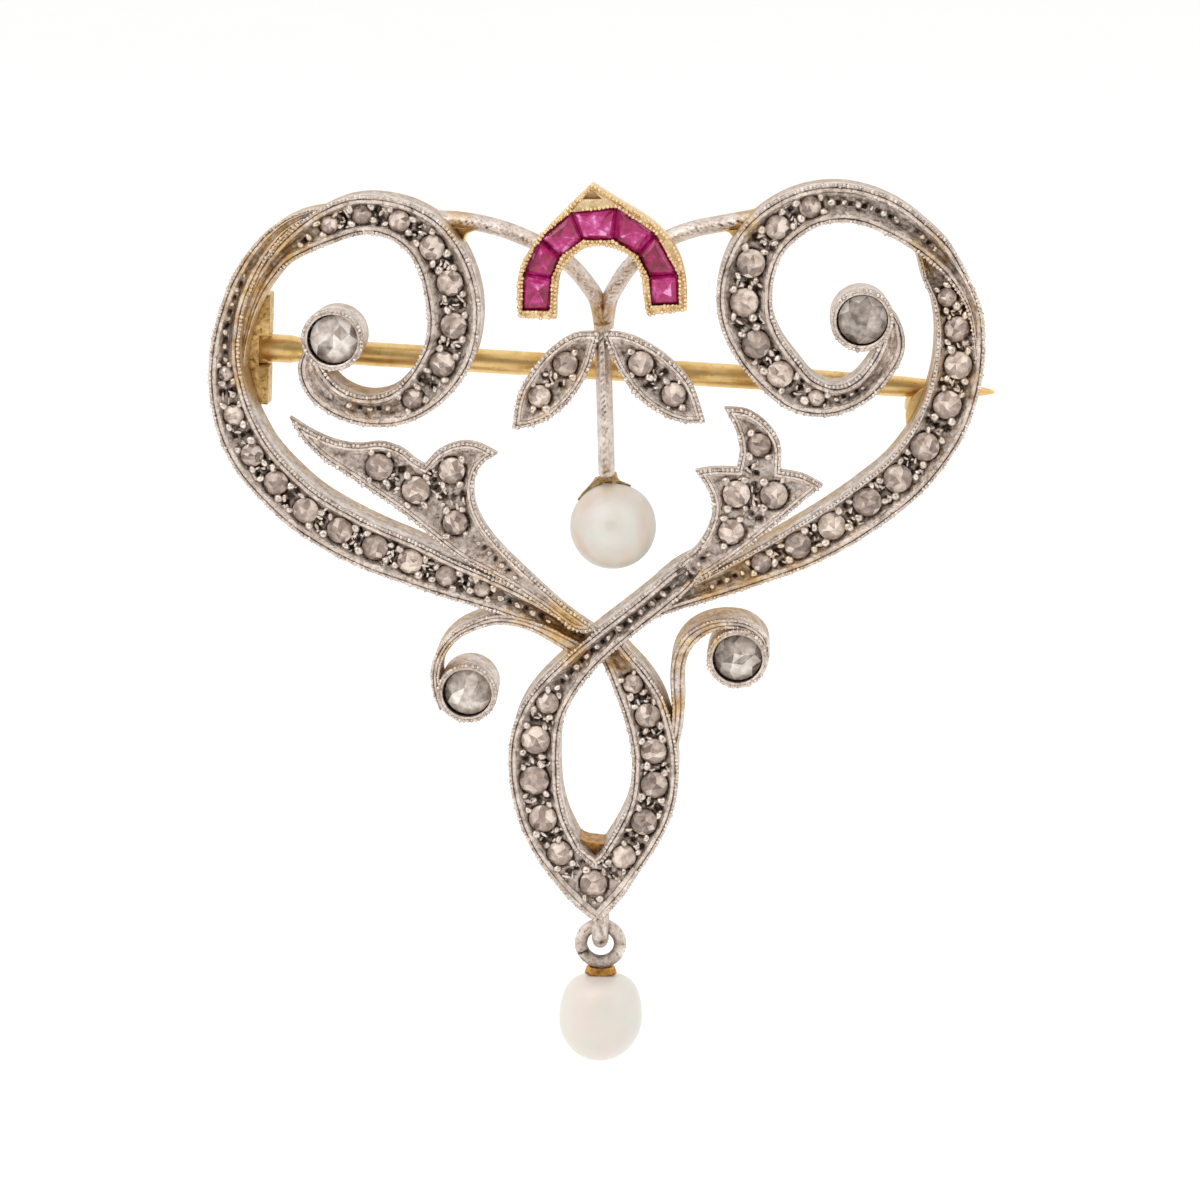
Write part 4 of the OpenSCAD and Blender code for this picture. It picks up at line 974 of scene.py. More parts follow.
def plate_with_bed(name, runs, dip, finish, sunk_in):
    """Leaf or sprig: a rim round a sunk bed, drawn in behind. Within sunk_in its rim is cut away."""
    points = outline(runs, 6)
    top = FACE + dip
    rows = [at_depth(drawn_in(points, inset), top + depth) for inset, depth, _, _ in PLATE_PROFILE]
    for p in (p for places in rows for p in places):
        if sunk_in and inside((p.x, p.z), sunk_in):
            p.y = max(p.y, top + BED_SUNK + 0.1)
    bm = bmesh.new()
    tarnish_and_shade, warmth = layers(bm)
    for ring, (_, _, darkness, warm) in zip(loft(bm, rows, close=None), PLATE_PROFILE):
        for vert in ring:
            vert[tarnish_and_shade] = darkness
            vert[warmth] = max(warm, gold_at(vert.co.x, vert.co.z))
    bmesh.ops.remove_doubles(bm, verts=bm.verts, dist=1e-4)
    open_edges = [e for e in bm.edges if len(e.link_faces) == 1]
    for level in (True, False):
        edges = [e for e in open_edges if (e.verts[0].co.y > top + 0.9) == level]
        bmesh.ops.triangle_fill(bm, use_beauty=True, edges=edges, normal=(0, -1, 0))
    return make(name, bm, finish)


def knife_wire(name, points, foot, edge, finish, steps=12):
    """Wire with a sharp face, cut across like a milled edge."""
    bm = bmesh.new()
    deep = foot - edge
    section = both_sides([
        (-0.41, foot, 0.4, 0.5, 0), (-0.38, foot - 0.35 * deep, 0.15, 0.25, 0),
        (-0.27, foot - 0.72 * deep, 0.05, 0.0, 0), (-0.13, edge + 0.04, 0.0, 0.0, 0), (-0.05, edge, 0.0, 0.0, 1)])
    count = [0]

    def cuts(x, z):
        """Every third station is nicked, some more than others, and painted dark there: soil and painted shade in
        the nick.
        """
        count[0] += 1
        much = max(0.0, 0.6 + noise_at(x, z, 2.3, 2.0))
        return (0.08 * much, min(1.0, much)) if count[0] // 2 % 3 == 0 else (0.0, 0.0)

    sweep(bm, [(x, z, 2.0, 0.0) for x, z in smooth(points, steps)], lambda s: section, cuts)
    return make(name, bm, finish)


def solder(name, corners, finish):
    """Web of solder between a wire and a ring, hollow on its free side."""
    corner, on_wire, on_ring = (Vector(c) for c in corners)
    middle = (on_wire + on_ring) / 2
    hollow = middle + (corner - middle) * 0.25
    line = outline([[on_wire, hollow, on_ring], [on_ring, corner], [corner, on_wire]], 6)
    bm = bmesh.new()
    loft(bm, [at_depth(drawn_in(line, inset), BACK - depth) for inset, depth in (
        (0, 0.17), (0, 0.72), (0.04, 0.84), (0.09, 0.88))], fill)
    return make(name, bm, finish)


def foot_slab(name, points, back, front, finish, warm):
    """Slab at the foot of the loop, soiled in front and gold behind."""
    bm = bmesh.new()
    tarnish_and_shade, warmth = layers(bm)
    rings = loft(bm, [at_depth(points, back), at_depth(points, front)], fill)
    for ring, darkness, gold in zip(rings, (0.4, 0.7), (0.75, warm)):
        for v in ring:
            v[tarnish_and_shade], v[warmth] = darkness, gold
    return make(name, bm, finish)


def collet(name, at, finish):
    """Tube with a rolled lip, a seat for the stone and an open back."""
    bm = bmesh.new()
    spun(bm, [Vector((r, y, 0)) for r, y, _, _ in COLLET_PROFILE], (0, 1, 0), 64)
    bmesh.ops.translate(bm, vec=(at[0], 0, at[1]), verts=bm.verts)
    tarnish_and_shade, warmth = layers(bm)
    for vert in bm.verts:
        r = math.hypot(vert.co.x - at[0], vert.co.z - at[1])
        row = min(COLLET_PROFILE, key=lambda p: abs(p[0] - r) + abs(p[1] - vert.co.y))
        vert[tarnish_and_shade] = row[2]
        vert[warmth] = max(row[3], gold_at(vert.co.x, vert.co.z))
    return make(name, bm, finish)


def bail(name, finish):
    """Band of the bail with a neck into the foot of the loop."""
    bm = bmesh.new()
    side = [(0.34, 0.52), (0.42, 0.6), (0.43, 0.82), (0.39, 0.98), (0.31, 1.12), (0.18, 1.21), (0.06, 1.25)]
    spun(bm, [Vector((x, 0, r)) for x, r in both_sides([(-x, r) for x, r in side])], (1, 0, 0), 72)
    neck = bmesh.ops.create_cube(
        bm, size=1.0, matrix=Matrix.Translation((0, 0, 1.2)) @ Matrix.Diagonal((0.84, 1.5, 1.6, 1)))
    edges = list(dict.fromkeys(e for v in neck["verts"] for e in v.link_edges))
    bmesh.ops.bevel(bm, geom=edges, offset=0.12, affect="EDGES", segments=3, profile=0.5, material=-1)
    tarnish_and_shade, _ = layers(bm)
    for v in bm.verts:
        round_it = math.atan2(v.co.z, -v.co.y)
        cut = noise.noise(Vector((4.0 * v.co.x, 2.6 * round_it, 3.0)))
        v.co *= 1 - max(0.0, 0.07 * cut)
        v[tarnish_and_shade] = min(1.0, max(0.15, 1.6 * cut))
    bmesh.ops.translate(bm, vec=BAIL_AT, verts=bm.verts)
    return make(name, bm, finish, angle=50)


# ---- stones

def in_order(faces):
    """Faces by their place, because a mesh can list the same faces in another order at each run."""
    return sorted(faces, key=lambda f: tuple(f.calc_center_median()))


def rose(bm, at, y, radius, rises, rng, tone, spread):
    """Rose cut: flat back, girdle, two rings of facets and a small table, each facet with its tone, a painted
    reflection.
    """
    facet_tone_and_light = bm.faces.layers.float.get("facet_tone_and_light") or bm.faces.layers.float.new("facet_tone_and_light")
    old = set(bm.faces)
    start = rng.uniform(0, math.tau)
    around = 3 * ROSE_SIDES

    def circle(share, rise, half_step, corners):
        """Places on a circle that share a number of corners."""
        wobble = [rng.uniform(0.95, 1.02) for _ in range(corners)]
        out = []
        for k in range(around):
            corner = k * corners // around
            a = start + math.tau * (corner + half_step) / corners
            r = radius * share * (wobble[corner] if share < 0.9 else 1.0)
            out.append(Vector((at[0] + r * math.cos(a), y - rise, at[1] + r * math.sin(a))))
        return out

    loft(bm, [circle(*row) for row in (
        (0.94, 0.0, 0, around), (1.0, rises[0], 0, around), (0.985, rises[1], 0, around),
        (0.72, rises[2], 0.5, ROSE_SIDES), (0.3, rises[3], 0.5, ROSE_SIDES // 2))])
    bmesh.ops.remove_doubles(bm, verts=list(dict.fromkeys(
        v for f in bm.faces if f not in old for v in f.verts)), dist=1e-4)
    bmesh.ops.triangulate(bm, faces=[f for f in bm.faces if f not in old and len(f.verts) == 4])
    # Each facet's tone is a painted reflection, a little lighter towards +x and +z as painted light.
    tones = {}
    for f in in_order(bm.faces):
        if f not in old:
            centre = f.calc_center_median()
            level = int(6 * (y - centre.y))
            way = int(ROSE_SIDES * ((math.atan2(centre.z - at[1], centre.x - at[0]) - start) / math.tau % 1))
            own = tones.setdefault((level, way), rng.gauss(tone, spread * 0.5))
            lit = ((centre.x - at[0]) + (centre.z - at[1])) / radius
            f[facet_tone_and_light] = unit(own + 0.1 * lit)


def rose_field(name, key, finish, rng, y):
    bm = bmesh.new()
    for x, z, radius in ROSES[key]:
        rose(bm, (x, z), y, radius, (0.1, 0.27, 0.42, 0.54), rng, rng.uniform(0.34, 0.66), 0.46)
    return make(name, bm, finish, node=f"{key}_stones", angle=0, merge=1e-5)


def collet_rose(i, at, finish, rng):
    """Large rose cut, a little off the middle of its collet and smaller than it, so that a dark gap shows."""
    bm = bmesh.new()
    rose(bm, (at[0] + 0.04, at[1] - 0.02), COLLET_SEAT - GAP, COLLET_STONE - 0.08,
         (0.3, 0.4, 0.58, 0.73), rng, 0.49, 0.5)
    return make(f"collet_rose_{i}", bm, finish, node=f"collet_stone_{i}",
                angle=0, merge=1e-5)


def ruby(i, finish, rng):
    """Calibre cut ruby with cut corners, a crown step and a table of small facets."""
    start, end = RUBY_JOINTS[i:i + 2]
    corners = [Vector(c) for c in (start[:2], start[2:], end[2:], end[:2])]
    middle = sum(corners, Vector((0, 0))) / 4
    rim = []
    for k, c in enumerate(corners):
        rim += [c.lerp(corners[k - 1], 0.07), c.lerp(corners[(k + 1) % 4], 0.07)]
    bm = bmesh.new()
    facet_tone_and_light = bm.faces.layers.float.new("facet_tone_and_light")

    def drawn(share, depth, wander):
        return [Vector((*p.lerp(middle, share + rng.uniform(-wander, wander)), RUBY_FLOOR - depth)).xzy
                for p in rim]

    loft(bm, [drawn(*row) for row in (
        (0.45, GAP, 0), (0.03, 0.3, 0), (0.015, 0.44, 0), (0.2, 0.62, 0.06), (0.44, 0.72, 0.12))])
    table = min(bm.faces, key=lambda f: f.calc_center_median().y)
    peak = bmesh.ops.poke(bm, faces=[table])["verts"][0]
    peak.co += Vector((rng.uniform(-0.2, 0.2), 0, rng.uniform(-0.2, 0.2)))
    # Facets painted paler towards the table and darker towards the girdle: painted highlight and shade over each
    # stone's tone.
    for f in in_order(bm.faces):
        high = (RUBY_FLOOR - f.calc_center_median().y) / RUBY_HIGH
        f[facet_tone_and_light] = unit(rng.gauss(RUBY_TONES[i] * (0.3 + 0.75 * high), 0.17))
    return make(f"ruby_gem_{i + 1}", bm, finish, node=f"ruby_{i + 1}", angle=0, merge=1e-5)


def ruby_plate(name, finish):
    """Gold plate of the arch with a bed for the rubies."""
    points = outline(ARCH_OUTSIDE, 5)
    bm = bmesh.new()
    tarnish_and_shade, _ = layers(bm)

    def soiled_and_shaded(ring, darkness):
        for v in ring:
            v[tarnish_and_shade] = darkness
        return ring

    def drawn(ring, line, depth, darkness):
        return soiled_and_shaded(pull(bm, ring, at_depth(line, FACE + depth)), darkness)

    back = ring = ring_of(bm, at_depth(points, FACE + 1.32))
    for inset, depth, darkness in ((0, 0.24, 0.3), (0.04, 0.17, 0.0), (0.12, 0.14, 0.0)):
        ring = drawn(ring, drawn_in(points, inset), depth, darkness)
    lip = ring_of(bm, at_depth(ARCH_BED, FACE + 0.02))
    recess = ring_of(bm, at_depth(ARCH_RECESS, FACE + 0.05))
    fill(bm, ring, lip, recess)
    # The lip, the recess and the bed under the rubies are painted dark: painted shade with soil.
    soiled_and_shaded(lip, 0.4)
    fill(bm, drawn(recess, ARCH_RECESS, 0.4, 0.5))
    fill(bm, drawn(lip, ARCH_BED, RUBY_HIGH, 1.0))
    fill(bm, back)
    return make(name, bm, finish, node="ruby_setting")


# ---- beads that hold the stones

def ribbon_room(rows, near):
    """Returns a test of how far a place is inside a ribbon's bed, and the way the ribbon runs there."""
    stations = smooth(rows, 4)

    def room(x, z):
        i = min(range(len(stations)), key=lambda i: math.hypot(x - stations[i][0], z - stations[i][1]))
        s, run = stations[i], along(stations, i)
        across = -(x - s[0]) * run.y + (z - s[1]) * run.x
        near_rim, far_rim = rims_of(s[2], near)
        return min(across - (-s[2] / 2 + near_rim), s[2] / 2 - far_rim - across), run
    return room


def plate_room(runs):
    """The same test for a leaf, a sprig or the foot."""
    points = outline(runs, 4)

    def room(x, z):
        away = edge_distance((x, z), points)
        return (away if inside((x, z), points) else -away) - LEAF_RIM, Vector((0, 1))
    return room


def grains(name, key, rooms, finish, rng, depth):
    """Beads raised round the stones, kept clear of stones, rims and each other, and chips between them."""
    stones = ROSES[key]
    placed = []
    for x, z, radius in stones:
        _, run = max((room(x, z) for room in rooms), key=lambda r: r[0])
        heading = math.atan2(run.y, run.x)
        for turn in (33, -33, 147, -147):
            for size in (0.22, 0.18, 0.14):
                a = heading + math.radians(turn + rng.uniform(-9, 9))
                px = x + (radius + 0.75 * size) * math.cos(a)
                pz = z + (radius + 0.75 * size) * math.sin(a)
                if max(room(px, pz)[0] for room in rooms) < 0.35 * size:
                    continue
                if any(math.hypot(px - sx, pz - sz) < sr + 0.55 * size for sx, sz, sr in stones):
                    continue
                if any(math.hypot(px - gx, pz - gz) < 0.95 * (size + gr) for gx, gz, gr in placed):
                    continue
                placed.append((px, pz, size))
                break
    bm = bmesh.new()
    for x, z, size in placed + LOOSE_BEADS.get(key, []):
        size *= rng.uniform(0.9, 1.15)
        turn = rng.uniform(0, math.pi)
        bead(bm, Vector((x, depth - BED_SUNK - 0.2 * size, z)), size, Vector((math.cos(turn), math.sin(turn))),
             rng.uniform(0.65, 1.0), levels=2)
    for at, ar, br, gap, run in neighbours(stones):
        for _ in range(7):
            along_it = ar + rng.uniform(0.1, 0.9) * gap
            spot = at + run * along_it + left_of(run) * rng.uniform(-1.1, 1.1) * (ar + br) / 2
            size = rng.uniform(0.06, 0.1)
            if max(room(*spot)[0] for room in rooms) < 0.0:
                continue
            if any(math.hypot(spot.x - sx, spot.y - sz) < sr + 0.8 * size for sx, sz, sr in stones):
                continue
            turn = rng.uniform(0, math.pi)
            way = Matrix.Translation((spot.x, depth - BED_SUNK + rng.uniform(-0.04, 0.03), spot.y))
            shape = Matrix.Rotation(turn, 4, "Y") @ Matrix.Diagonal((rng.uniform(1.6, 2.8), 1.2, 1.0, 1.0))
            bmesh.ops.create_icosphere(bm, subdivisions=2, radius=size, matrix=way @ shape)
    for v in bm.verts:
        v.co += Vector((1, 0.6, -1)) * 0.08 * noise.noise(v.co * 4)
    paint_gold(bm)
    return make(name, bm, finish, angle=180, merge=0)


# ---- pearls, ring, pin

def fixed_pearl(finish):
    """Slightly uneven round pearl."""
    bm = bmesh.new()
    bmesh.ops.create_uvsphere(bm, u_segments=64, v_segments=40, radius=PEARL_ROUND * 0.995)
    for v in bm.verts:
        swell = 0.006 * math.sin(2.1 * v.co.x + 1) * math.cos(1.7 * v.co.z) + 0.004 * math.sin(3.0 * v.co.y)
        v.co *= 1 + swell - 0.004
    bmesh.ops.translate(bm, vec=PEARL_AT, verts=bm.verts)
    return make("fixed_pearl", bm, finish, node="upper_pearl", angle=180, merge=1e-5)


def drop_pearl(name, finish):
    """Hanging pearl: broad shoulders, fuller on the right, a round foot."""
    bm = bmesh.new()
    bmesh.ops.create_uvsphere(bm, u_segments=64, v_segments=48, radius=1.0)
    for v in bm.verts:
        level = max(-1.0, min(1.0, v.co.z))
        round_off = math.sqrt(max(0.0, 1 - level * level))
        wide = DROP_WIDE / 2 * (round_off ** 0.45 if level > 0 else round_off)
        flat = math.hypot(v.co.x, v.co.y)
        if flat > 1e-6:
            v.co.x *= wide / flat
            v.co.y *= wide / flat
        lean = max(0.0, level) ** 3
        mouth = 0.1 * max(0.0, 1 - (wide / 0.85) ** 2) if level > 0 else 0.0
        v.co.z = level * DROP_HIGH / 2 - 0.09 * lean * v.co.y + mouth
        v.co.x += 0.05 * level
    bmesh.ops.scale(bm, vec=(0.993, 0.993, 0.995), verts=bm.verts)
    bmesh.ops.translate(bm, vec=(RING_AT.x, RING_AT.y, DROP_TOP - DROP_HIGH / 2), verts=bm.verts)
    return make(name, bm, finish, body="drop", node="drop_pearl", angle=180, merge=1e-5)


def jump_ring(name, finish):
    """Ring of round wire, open at its seam by a hair."""
    steps, corners, wire = 96, 20, RING_WIRE * 0.99
    rows = []
    for k in range(steps + 1):
        turn = math.radians(206) + math.radians(355.5) * k / steps
        rows.append([])
        for j in range(corners):
            a = math.tau * j / corners
            reach = RING_MID + wire * math.cos(a)
            spot = Vector((reach * math.cos(turn), wire * math.sin(a), reach * math.sin(turn)))
            rows[-1].append(RING_AT + spot)
    bm = bmesh.new()
    tarnish_and_shade, _ = layers(bm)
    loft(bm, rows)
    for v in bm.verts:
        way = v.co - RING_AT
        # Painted shade: darker on the inner side of the wire and towards the foot of the ring, with a dark seam
        # and some soil.
        inner = max(0.0, (RING_MID - math.hypot(way.x, way.z)) / RING_WIRE)
        foot = max(0.0, -way.z / RING_MID - 0.6)
        turn = math.degrees(math.atan2(way.z, way.x)) % 360
        seam = 0.8 if abs(turn - 203.7) < 5 else 0.0
        v[tarnish_and_shade] = min(1.0, max(seam, 0.14 + 0.5 * inner + 0.95 * foot + 0.4 * noise.noise(v.co * 1.5)))
    return make(name, bm, finish, body="ring", node="jump_ring", angle=50)


def turned(bm, profile, steps=48):
    """Turns a closed profile of radius and height about +Z."""
    spun(bm, [Vector((r, 0, h)) for r, h in profile], (0, 0, 1), steps)


def leant(bm, verts, aside, forward):
    """Leans vertices about the middle of the pearl by two angles in degrees."""
    bmesh.ops.rotate(bm, cent=(0, 0, 0), verts=verts, matrix=(
        Matrix.Rotation(math.radians(aside), 3, "Y") @ Matrix.Rotation(math.radians(forward), 3, "X")))


def pearl_cap(name, finish):
    """Cap that hugs the back of the pearl's crown, with a flared collar and a bead of solder."""
    bm = bmesh.new()
    near = PEARL_ROUND + 0.012
    angles = [6, 11, 16, 21, 26, 31, 36, 39]
    shell = [(a, near) for a in angles]
    for a in angles[::-1]:
        shell.append((a, near + 0.02 + 0.13 * (1 - (a / 41) ** 2) + 0.26 * (max(0.0, 24 - a) / 18) ** 2))
    turned(bm, [(r * math.sin(math.radians(a)), r * math.cos(math.radians(a))) for a, r in shell], 72)
    leant(bm, bm.verts, -16, -14.6)
    cut = bmesh.ops.bisect_plane(bm, geom=bm.verts[:] + bm.edges[:] + bm.faces[:], dist=1e-5,
                                 plane_co=TO_CAMERA * 0.25, plane_no=TO_CAMERA, clear_outer=True)
    bmesh.ops.contextual_create(bm, geom=[e for e in cut["geom_cut"] if isinstance(e, bmesh.types.BMEdge)])
    old = set(bm.verts)
    turned(bm, [(0.02, 2.05), (0.7, 2.03), (0.68, 2.14), (0.56, 2.26), (0.47, 2.4), (0.44, 2.56), (0.42, 2.7),
                (0.36, 2.74), (0.02, 2.75)])
    leant(bm, [v for v in bm.verts if v not in old], -6.5, -22)
    bead(bm, Vector((-0.28, -0.64, 3.0)), 0.13, levels=3)
    for v in bm.verts:
        v.co += v.co.normalized() * 0.02 * noise.noise(v.co * 3)
    bmesh.ops.translate(bm, vec=PEARL_AT, verts=bm.verts)
    return make(name, bm, finish, node="pearl_cap", angle=50)


def drop_cap(name, finish):
    """Flattened cup between the ring and the hanging pearl, hollow where the ring rests."""
    bm = bmesh.new()
    foot = DROP_TOP - RING_AT.z + 0.07
    turned(bm, [(r, foot + up) for r, up in (
        (0.03, 0), (0.76, 0), (0.85, 0.05), (0.82, 0.2), (0.72, 0.45), (0.6, 0.56), (0.03, 0.5))])
    for v in bm.verts:
        v.co.y = 0.5 * v.co.y + 0.16
        over = math.sqrt(max(0.0, (RING_MID + RING_WIRE + 0.03) ** 2 - v.co.x ** 2))
        v.co.z = min(v.co.z, -over)
        v.co += v.co.normalized() * 0.015 * noise.noise(v.co * 4)
    bmesh.ops.translate(bm, vec=RING_AT, verts=bm.verts)
    return make(name, bm, finish, body="drop", node="drop_cap", angle=40)


def softened(name, node, finish, body="brooch", width=0.06):
    """Copy of a solid with its edges rounded."""
    bm = bmesh.new()
    bm.from_mesh(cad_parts[node].data)
    bmesh.ops.scale(bm, vec=(1 / MM,) * 3, verts=bm.verts)
    bmesh.ops.remove_doubles(bm, verts=bm.verts, dist=1e-4)
    bmesh.ops.dissolve_limit(bm, angle_limit=math.radians(1), verts=bm.verts, edges=bm.edges)
    sharp = [e for e in bm.edges if len(e.link_faces) == 2 and e.calc_face_angle(0) > math.radians(40)]
    bmesh.ops.bevel(bm, geom=sharp, offset=width, affect="EDGES", segments=2, profile=0.5, material=-1,
                    clamp_overlap=True)
    return make(name, bm, finish, body=body, node=node, angle=30)


# ---- studio, in metres

def place(thing):
    bpy.context.scene.collection.objects.link(thing)
    return thing


def camera():
    """The photo's camera, as it was fitted to the outline of the brooch."""
    lens = bpy.data.cameras.new("camera")
    lens.lens, lens.sensor_width = 81, 36
    lens.clip_start, lens.clip_end = 0.005, 20
    eye = place(bpy.data.objects.new("camera", lens))
    eye.location = (6.449 * MM, -134.052 * MM, 23.043 * MM)
    eye.rotation_euler = (math.radians(90 - 14.65), 0, math.radians(2.83))
    bpy.context.scene.camera = eye


def softbox(name, at, power):
    """Square lamp aimed at the middle of the brooch."""
    data = bpy.data.lights.new(name, "AREA")
    data.shape = "RECTANGLE"
    data.size = data.size_y = 0.4
    data.energy = power
    light = place(bpy.data.objects.new(name, data))
    light.location = at
    light.rotation_euler = (Vector((0, 0, -0.01)) - Vector(at)).to_track_quat("-Z", "Y").to_euler()


def studio():
    camera()
    world = bpy.data.worlds.new("studio")
    bpy.context.scene.world = world
    world.use_nodes = True
    tree = world.node_tree
    sky = tree.nodes["Background"]
    # A white tent with a dimmer side where the camera stands.
    way = node_of(tree, "ShaderNodeTexCoord").outputs["Generated"]
    front = vector_of(tree, "DOT_PRODUCT", "Value", way, (0.05, -0.94, 0.34))
    tree.links.new(blended(tree, fitted(tree, front, 0.55, 0.95), (1.0, 1.0, 1.0), (0.3, 0.29, 0.28)),
                   sky.inputs["Color"])
    sky.inputs["Strength"].default_value = 1.135
    softbox("key_softbox", (-0.24, -0.24, 0.4), 1.0)
    softbox("fill_softbox", (0.4, -0.22, 0.28), 0.4)
    bm = bmesh.new()
    bmesh.ops.create_grid(bm, x_segments=8, y_segments=8, size=3.0)
    bmesh.ops.translate(bm, vec=(0, 0, -0.06), verts=bm.verts)
    mesh = bpy.data.meshes.new("floor")
    bm.to_mesh(mesh)
    bm.free()
    mesh.materials.append(floor_finish())
    floor = place(bpy.data.objects.new("floor", mesh))
    bpy.context.scene.view_settings.view_transform = "Standard"


# ---- the brooch

# Each ribbon's stations and the width of its near rim.
RIBBONS = {
    "left_ring": (LEFT_RING, RIM_WIDE), "left_ribbon": (LEFT_RIBBON, RIM_WIDE),
    "right_ring": (RIGHT_RING, RIM_WIDE), "right_ribbon": (RIGHT_RIBBON, THIN_RIM),
    "left_loop": (LEFT_LOOP, RIM_WIDE), "right_loop": (RIGHT_LOOP, RIM_WIDE)}

# Stones and loose beads of each bed.
BED_STONES = {
    "left_loop": ROSES["loop"][7:], "right_loop": ROSES["loop"][:6], "foot": ROSES["loop"][5:8],
    "left_leaf": ROSES["leaf"][:2], "right_leaf": ROSES["leaf"][2:], **ROSES}
BED_BEADS = {"left_loop": LOOSE_BEADS["loop"], **LOOSE_BEADS}


def relief_of(key, rng):
    return bed_relief(BED_STONES[key], cut_pits(rng, BED_STONES[key], BED_BEADS.get(key, [])))


def dress_ribbons(metal, beads, rng):
    for i, (key, (rows, near)) in enumerate(RIBBONS.items()):
        ribbon(f"{key}_band", rows, metal, near, 0.02 * i, relief_of(key, rng),
               STEM_BED if key == "left_loop" else None)
        stations = [s for s in smooth(rows, 6)
                    if all(math.hypot(s[0] - x, s[1] - z) > EDGE_STOP for x, z in COLLETS)]
        if key == "left_loop":
            stations = [s for s in stations if not inside(s, STEM_BED)]
        if key == "left_ring":
            stations = [s for s in stations if s[3] < 0.4]
        lines = [(stations, on_edge(side, tapering=True)) for side in (-1, 1)]
        milled_edge(f"{key}_milled_edge", lines, beads, rng)


def dress_plates(metal, beads, rng):
    for key, runs, dip, sunk_in, soiled_and_shaded, pitch, radius in (
            ("left_sprig", LEFT_SPRIG, 0.07, None, 0.26, 0.22, 0.11),
            ("right_sprig", RIGHT_SPRIG, 0.03, STEM_BED, 0.26, 0.22, 0.11),
            ("left_leaf", LEFT_LEAF, 0.2, None, 0.5, 0.25, 0.125),
            ("right_leaf", RIGHT_LEAF, 0.22, None, 0.5, 0.25, 0.125)):
        plate_with_bed(f"{key}_plate", runs, dip, metal, sunk_in)
        bed_slab(f"{key}_bed", outline(runs, 4), LEAF_RIM, FACE + dip, relief_of(key, rng), metal, soiled_and_shaded)
        line = drawn_in(outline(runs, 6), 0.07)
        if sunk_in:
            start = next(i for i, p in enumerate(line) if inside(p, sunk_in))
            line = [p for p in line[start:] + line[:start] if not inside(p, sunk_in)]
        stations = ring_stations(line, dip, closed=not sunk_in)
        milled_edge(f"{key}_milled_edge", [(stations, on_edge(0))], beads, rng, pitch, radius)


def dress_foot(metal, solder_gold, beads, rng):
    foot_slab("loop_foot", LOOP_FOOT, BACK + 0.02, FACE + 0.66, metal, 0.0)
    foot_slab("foot_solder", FOOT_NOTCH, BACK - 0.15, FACE + 0.8, solder_gold, 1.0)
    bed_slab("loop_foot_bed", LOOP_FOOT, 0.1, FACE + 0.05, relief_of("foot", rng), metal)
    for i, rows in enumerate(FOOT_RIMS):
        strip(f"loop_foot_rim_{i + 1}", rows, metal, rim_section)
    lines = [(smooth(rows, 6), on_edge(side)) for rows, side in zip(FOOT_RIMS, (-1, -1, 1, 1))]
    milled_edge("loop_foot_milled_edge", lines, beads, rng)


def dress_curls_and_wires(metal, gold, beads, rng):
    strip("left_curl_strip", LEFT_CURL, metal)
    strip("right_curl_strip", RIGHT_CURL, metal)
    lines = [(smooth(rows, 6), on_edge(side)) for rows in (LEFT_CURL, RIGHT_CURL) for side in (-1, 1)]
    milled_edge("curls_milled_edge", lines, beads, rng, radius=0.07, lift=0.03)
    knife_wire("left_wire", LEFT_WIRE, BACK - 0.13, BACK - 1.0, metal)
    knife_wire("right_wire", RIGHT_WIRE, BACK - 0.15, BACK - 1.0, metal)
    knife_wire("pearl_stem", PEARL_STEM, -2.0, -3.1, metal, 24)
    for side, corners in SOLDERS.items():
        solder(f"{side}_solder", corners, gold)


def dress_collets(metal, large, beads, rng):
    for i, at in enumerate(COLLETS, 1):
        collet(f"collet_{i}", at, metal)
        collet_rose(i, at, large, rng)
        turns = [math.tau * k / 48 for k in range(48)]
        circle = [(at[0] + COLLET_MILL * math.cos(a), at[1] + COLLET_MILL * math.sin(a)) for a in turns]
        milled_edge(f"collet_{i}_milled_edge", [(ring_stations(circle), on_edge(0))], beads, rng)


def dress_stones(small, beads, rng):
    """Fields of small stones, and the grains and chips round them."""
    for key in ROSES:
        rose_field(f"{key}_roses", key, small, rng, BED_FLOOR + (LEAF_LOWER if key == "leaf" else 0) - GAP)
    room_of = {key: ribbon_room(*ribbon_rows) for key, ribbon_rows in RIBBONS.items()}
    for key, rooms, lower in (
            ("left_ring", [room_of["left_ring"]], 0), ("left_ribbon", [room_of["left_ribbon"]], 0),
            ("right_ring", [room_of["right_ring"]], 0), ("right_ribbon", [room_of["right_ribbon"]], 0),
            ("left_sprig", [plate_room(LEFT_SPRIG)], 0), ("right_sprig", [plate_room(RIGHT_SPRIG)], 0),
            ("leaf", [plate_room(LEFT_LEAF), plate_room(RIGHT_LEAF)], LEAF_LOWER),
            ("loop", [room_of["left_loop"], room_of["right_loop"], plate_room([LOOP_FOOT + [LOOP_FOOT[0]]])], 0)):
        grains(f"{key}_grains", key, rooms, beads, rng, BED_FLOOR + lower)


def dress_arch(arch_gold, red, rng):
    ruby_plate("arch_plate", arch_gold)
    edge = drawn_in(outline(ARCH_OUTSIDE, 5), 0.07)
    milled_edge("arch_milled_edge", [
        (ring_stations(edge), on_edge(0)), (ring_stations(drawn_in(ARCH_BED, -0.06), 0.02), on_edge(0))],
        arch_gold, rng, lift=0.03, node="ruby_setting")
    for i in range(len(RUBY_TONES)):
        ruby(i, red, rng)


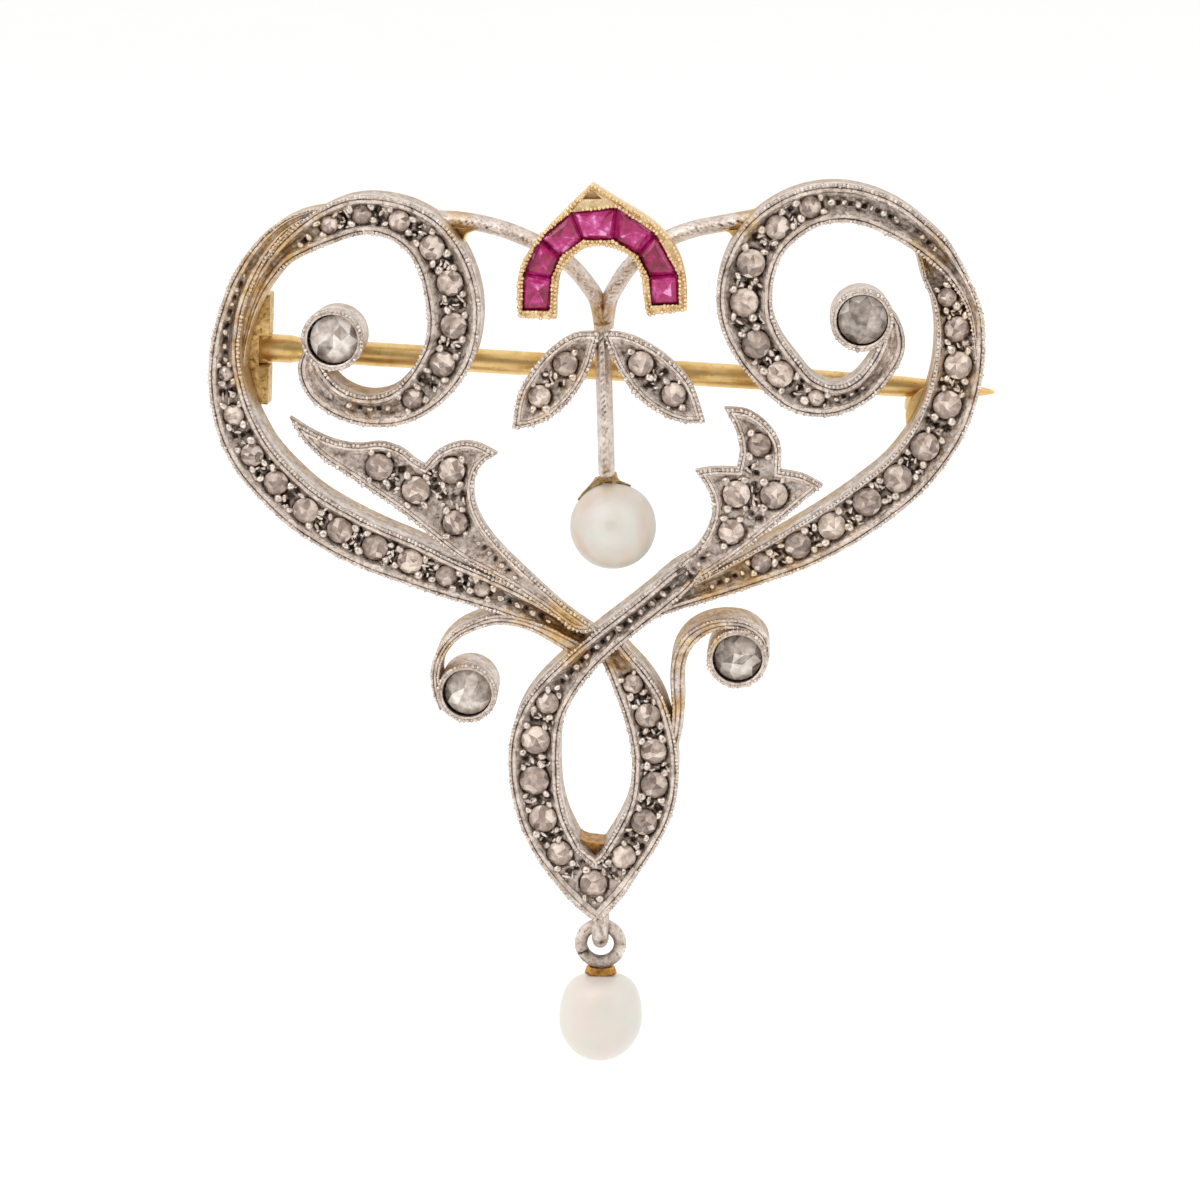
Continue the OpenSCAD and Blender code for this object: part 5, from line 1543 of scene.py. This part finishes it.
def build():
    rng = random.Random(11)
    metal, beads, gold = aged_white_metal(), bright_white_metal(), yellow_gold()
    cap_gold = soiled_gold("olive_gold", (0.66, 0.47, 0.22), (0.30, 0.17, 0.06))
    brown_gold = soiled_gold("brown_gold", (0.54, 0.275, 0.07), (0.25, 0.105, 0.02))
    plate_gold = soiled_gold("speckled_gold", (0.72, 0.49, 0.20), (0.46, 0.27, 0.08))
    small = rose_cut_finish(
        "champagne_rose_cut", (0.13, 0.085, 0.065), (0.385, 0.285, 0.228), (0.86, 0.72, 0.61), 0.14)
    large = rose_cut_finish("grey_rose_cut", (0.13, 0.095, 0.075), (0.54, 0.455, 0.39), (0.98, 0.90, 0.83), 0.06)
    # Bands of each pearl, out from the middle of the fixed pearl and across the drop from left to right: cream
    # tones with painted light and shade, lighter where lamps would reflect and darker at the edges.
    cream = pearl_finish("cream_pearl", [
        (0.60, 0.56, 0.50), (0.68, 0.65, 0.58), (0.69, 0.66, 0.59), (0.66, 0.61, 0.555), (0.635, 0.56, 0.49),
        (0.64, 0.52, 0.41), (0.52, 0.51, 0.45)], (0.62, 0.56, 0.48), PEARL_AT, ringed=True)
    drop_cream = pearl_finish("drop_pearl", [
        (0.62, 0.60, 0.53), (0.70, 0.64, 0.56), (0.725, 0.635, 0.565), (0.71, 0.645, 0.575), (0.68, 0.64, 0.57),
        (0.63, 0.62, 0.55)], (0.68, 0.61, 0.55), RING_AT, ringed=False)

    # The random draws follow this order.
    dress_ribbons(metal, beads, rng)
    dress_plates(metal, beads, rng)
    dress_foot(metal, brown_gold, beads, rng)
    dress_curls_and_wires(metal, gold, beads, rng)
    dress_collets(metal, large, beads, rng)
    bail("bail", metal)
    dress_stones(small, beads, rng)
    dress_arch(milled_gold(), ruby_finish(), rng)
    fixed_pearl(cream)
    drop_pearl("hanging_pearl", drop_cream)
    jump_ring("ring_wire", metal)
    pearl_cap("pearl_cap_gold", cap_gold)
    drop_cap("drop_cap_gold", brown_gold)
    softened("pin_stem_gold", "pin", gold, "pin_stem", 0.08)
    softened("hinge_gold", "hinge", plate_gold)
    softened("catch_gold", "catch", gold)


studio()
build()
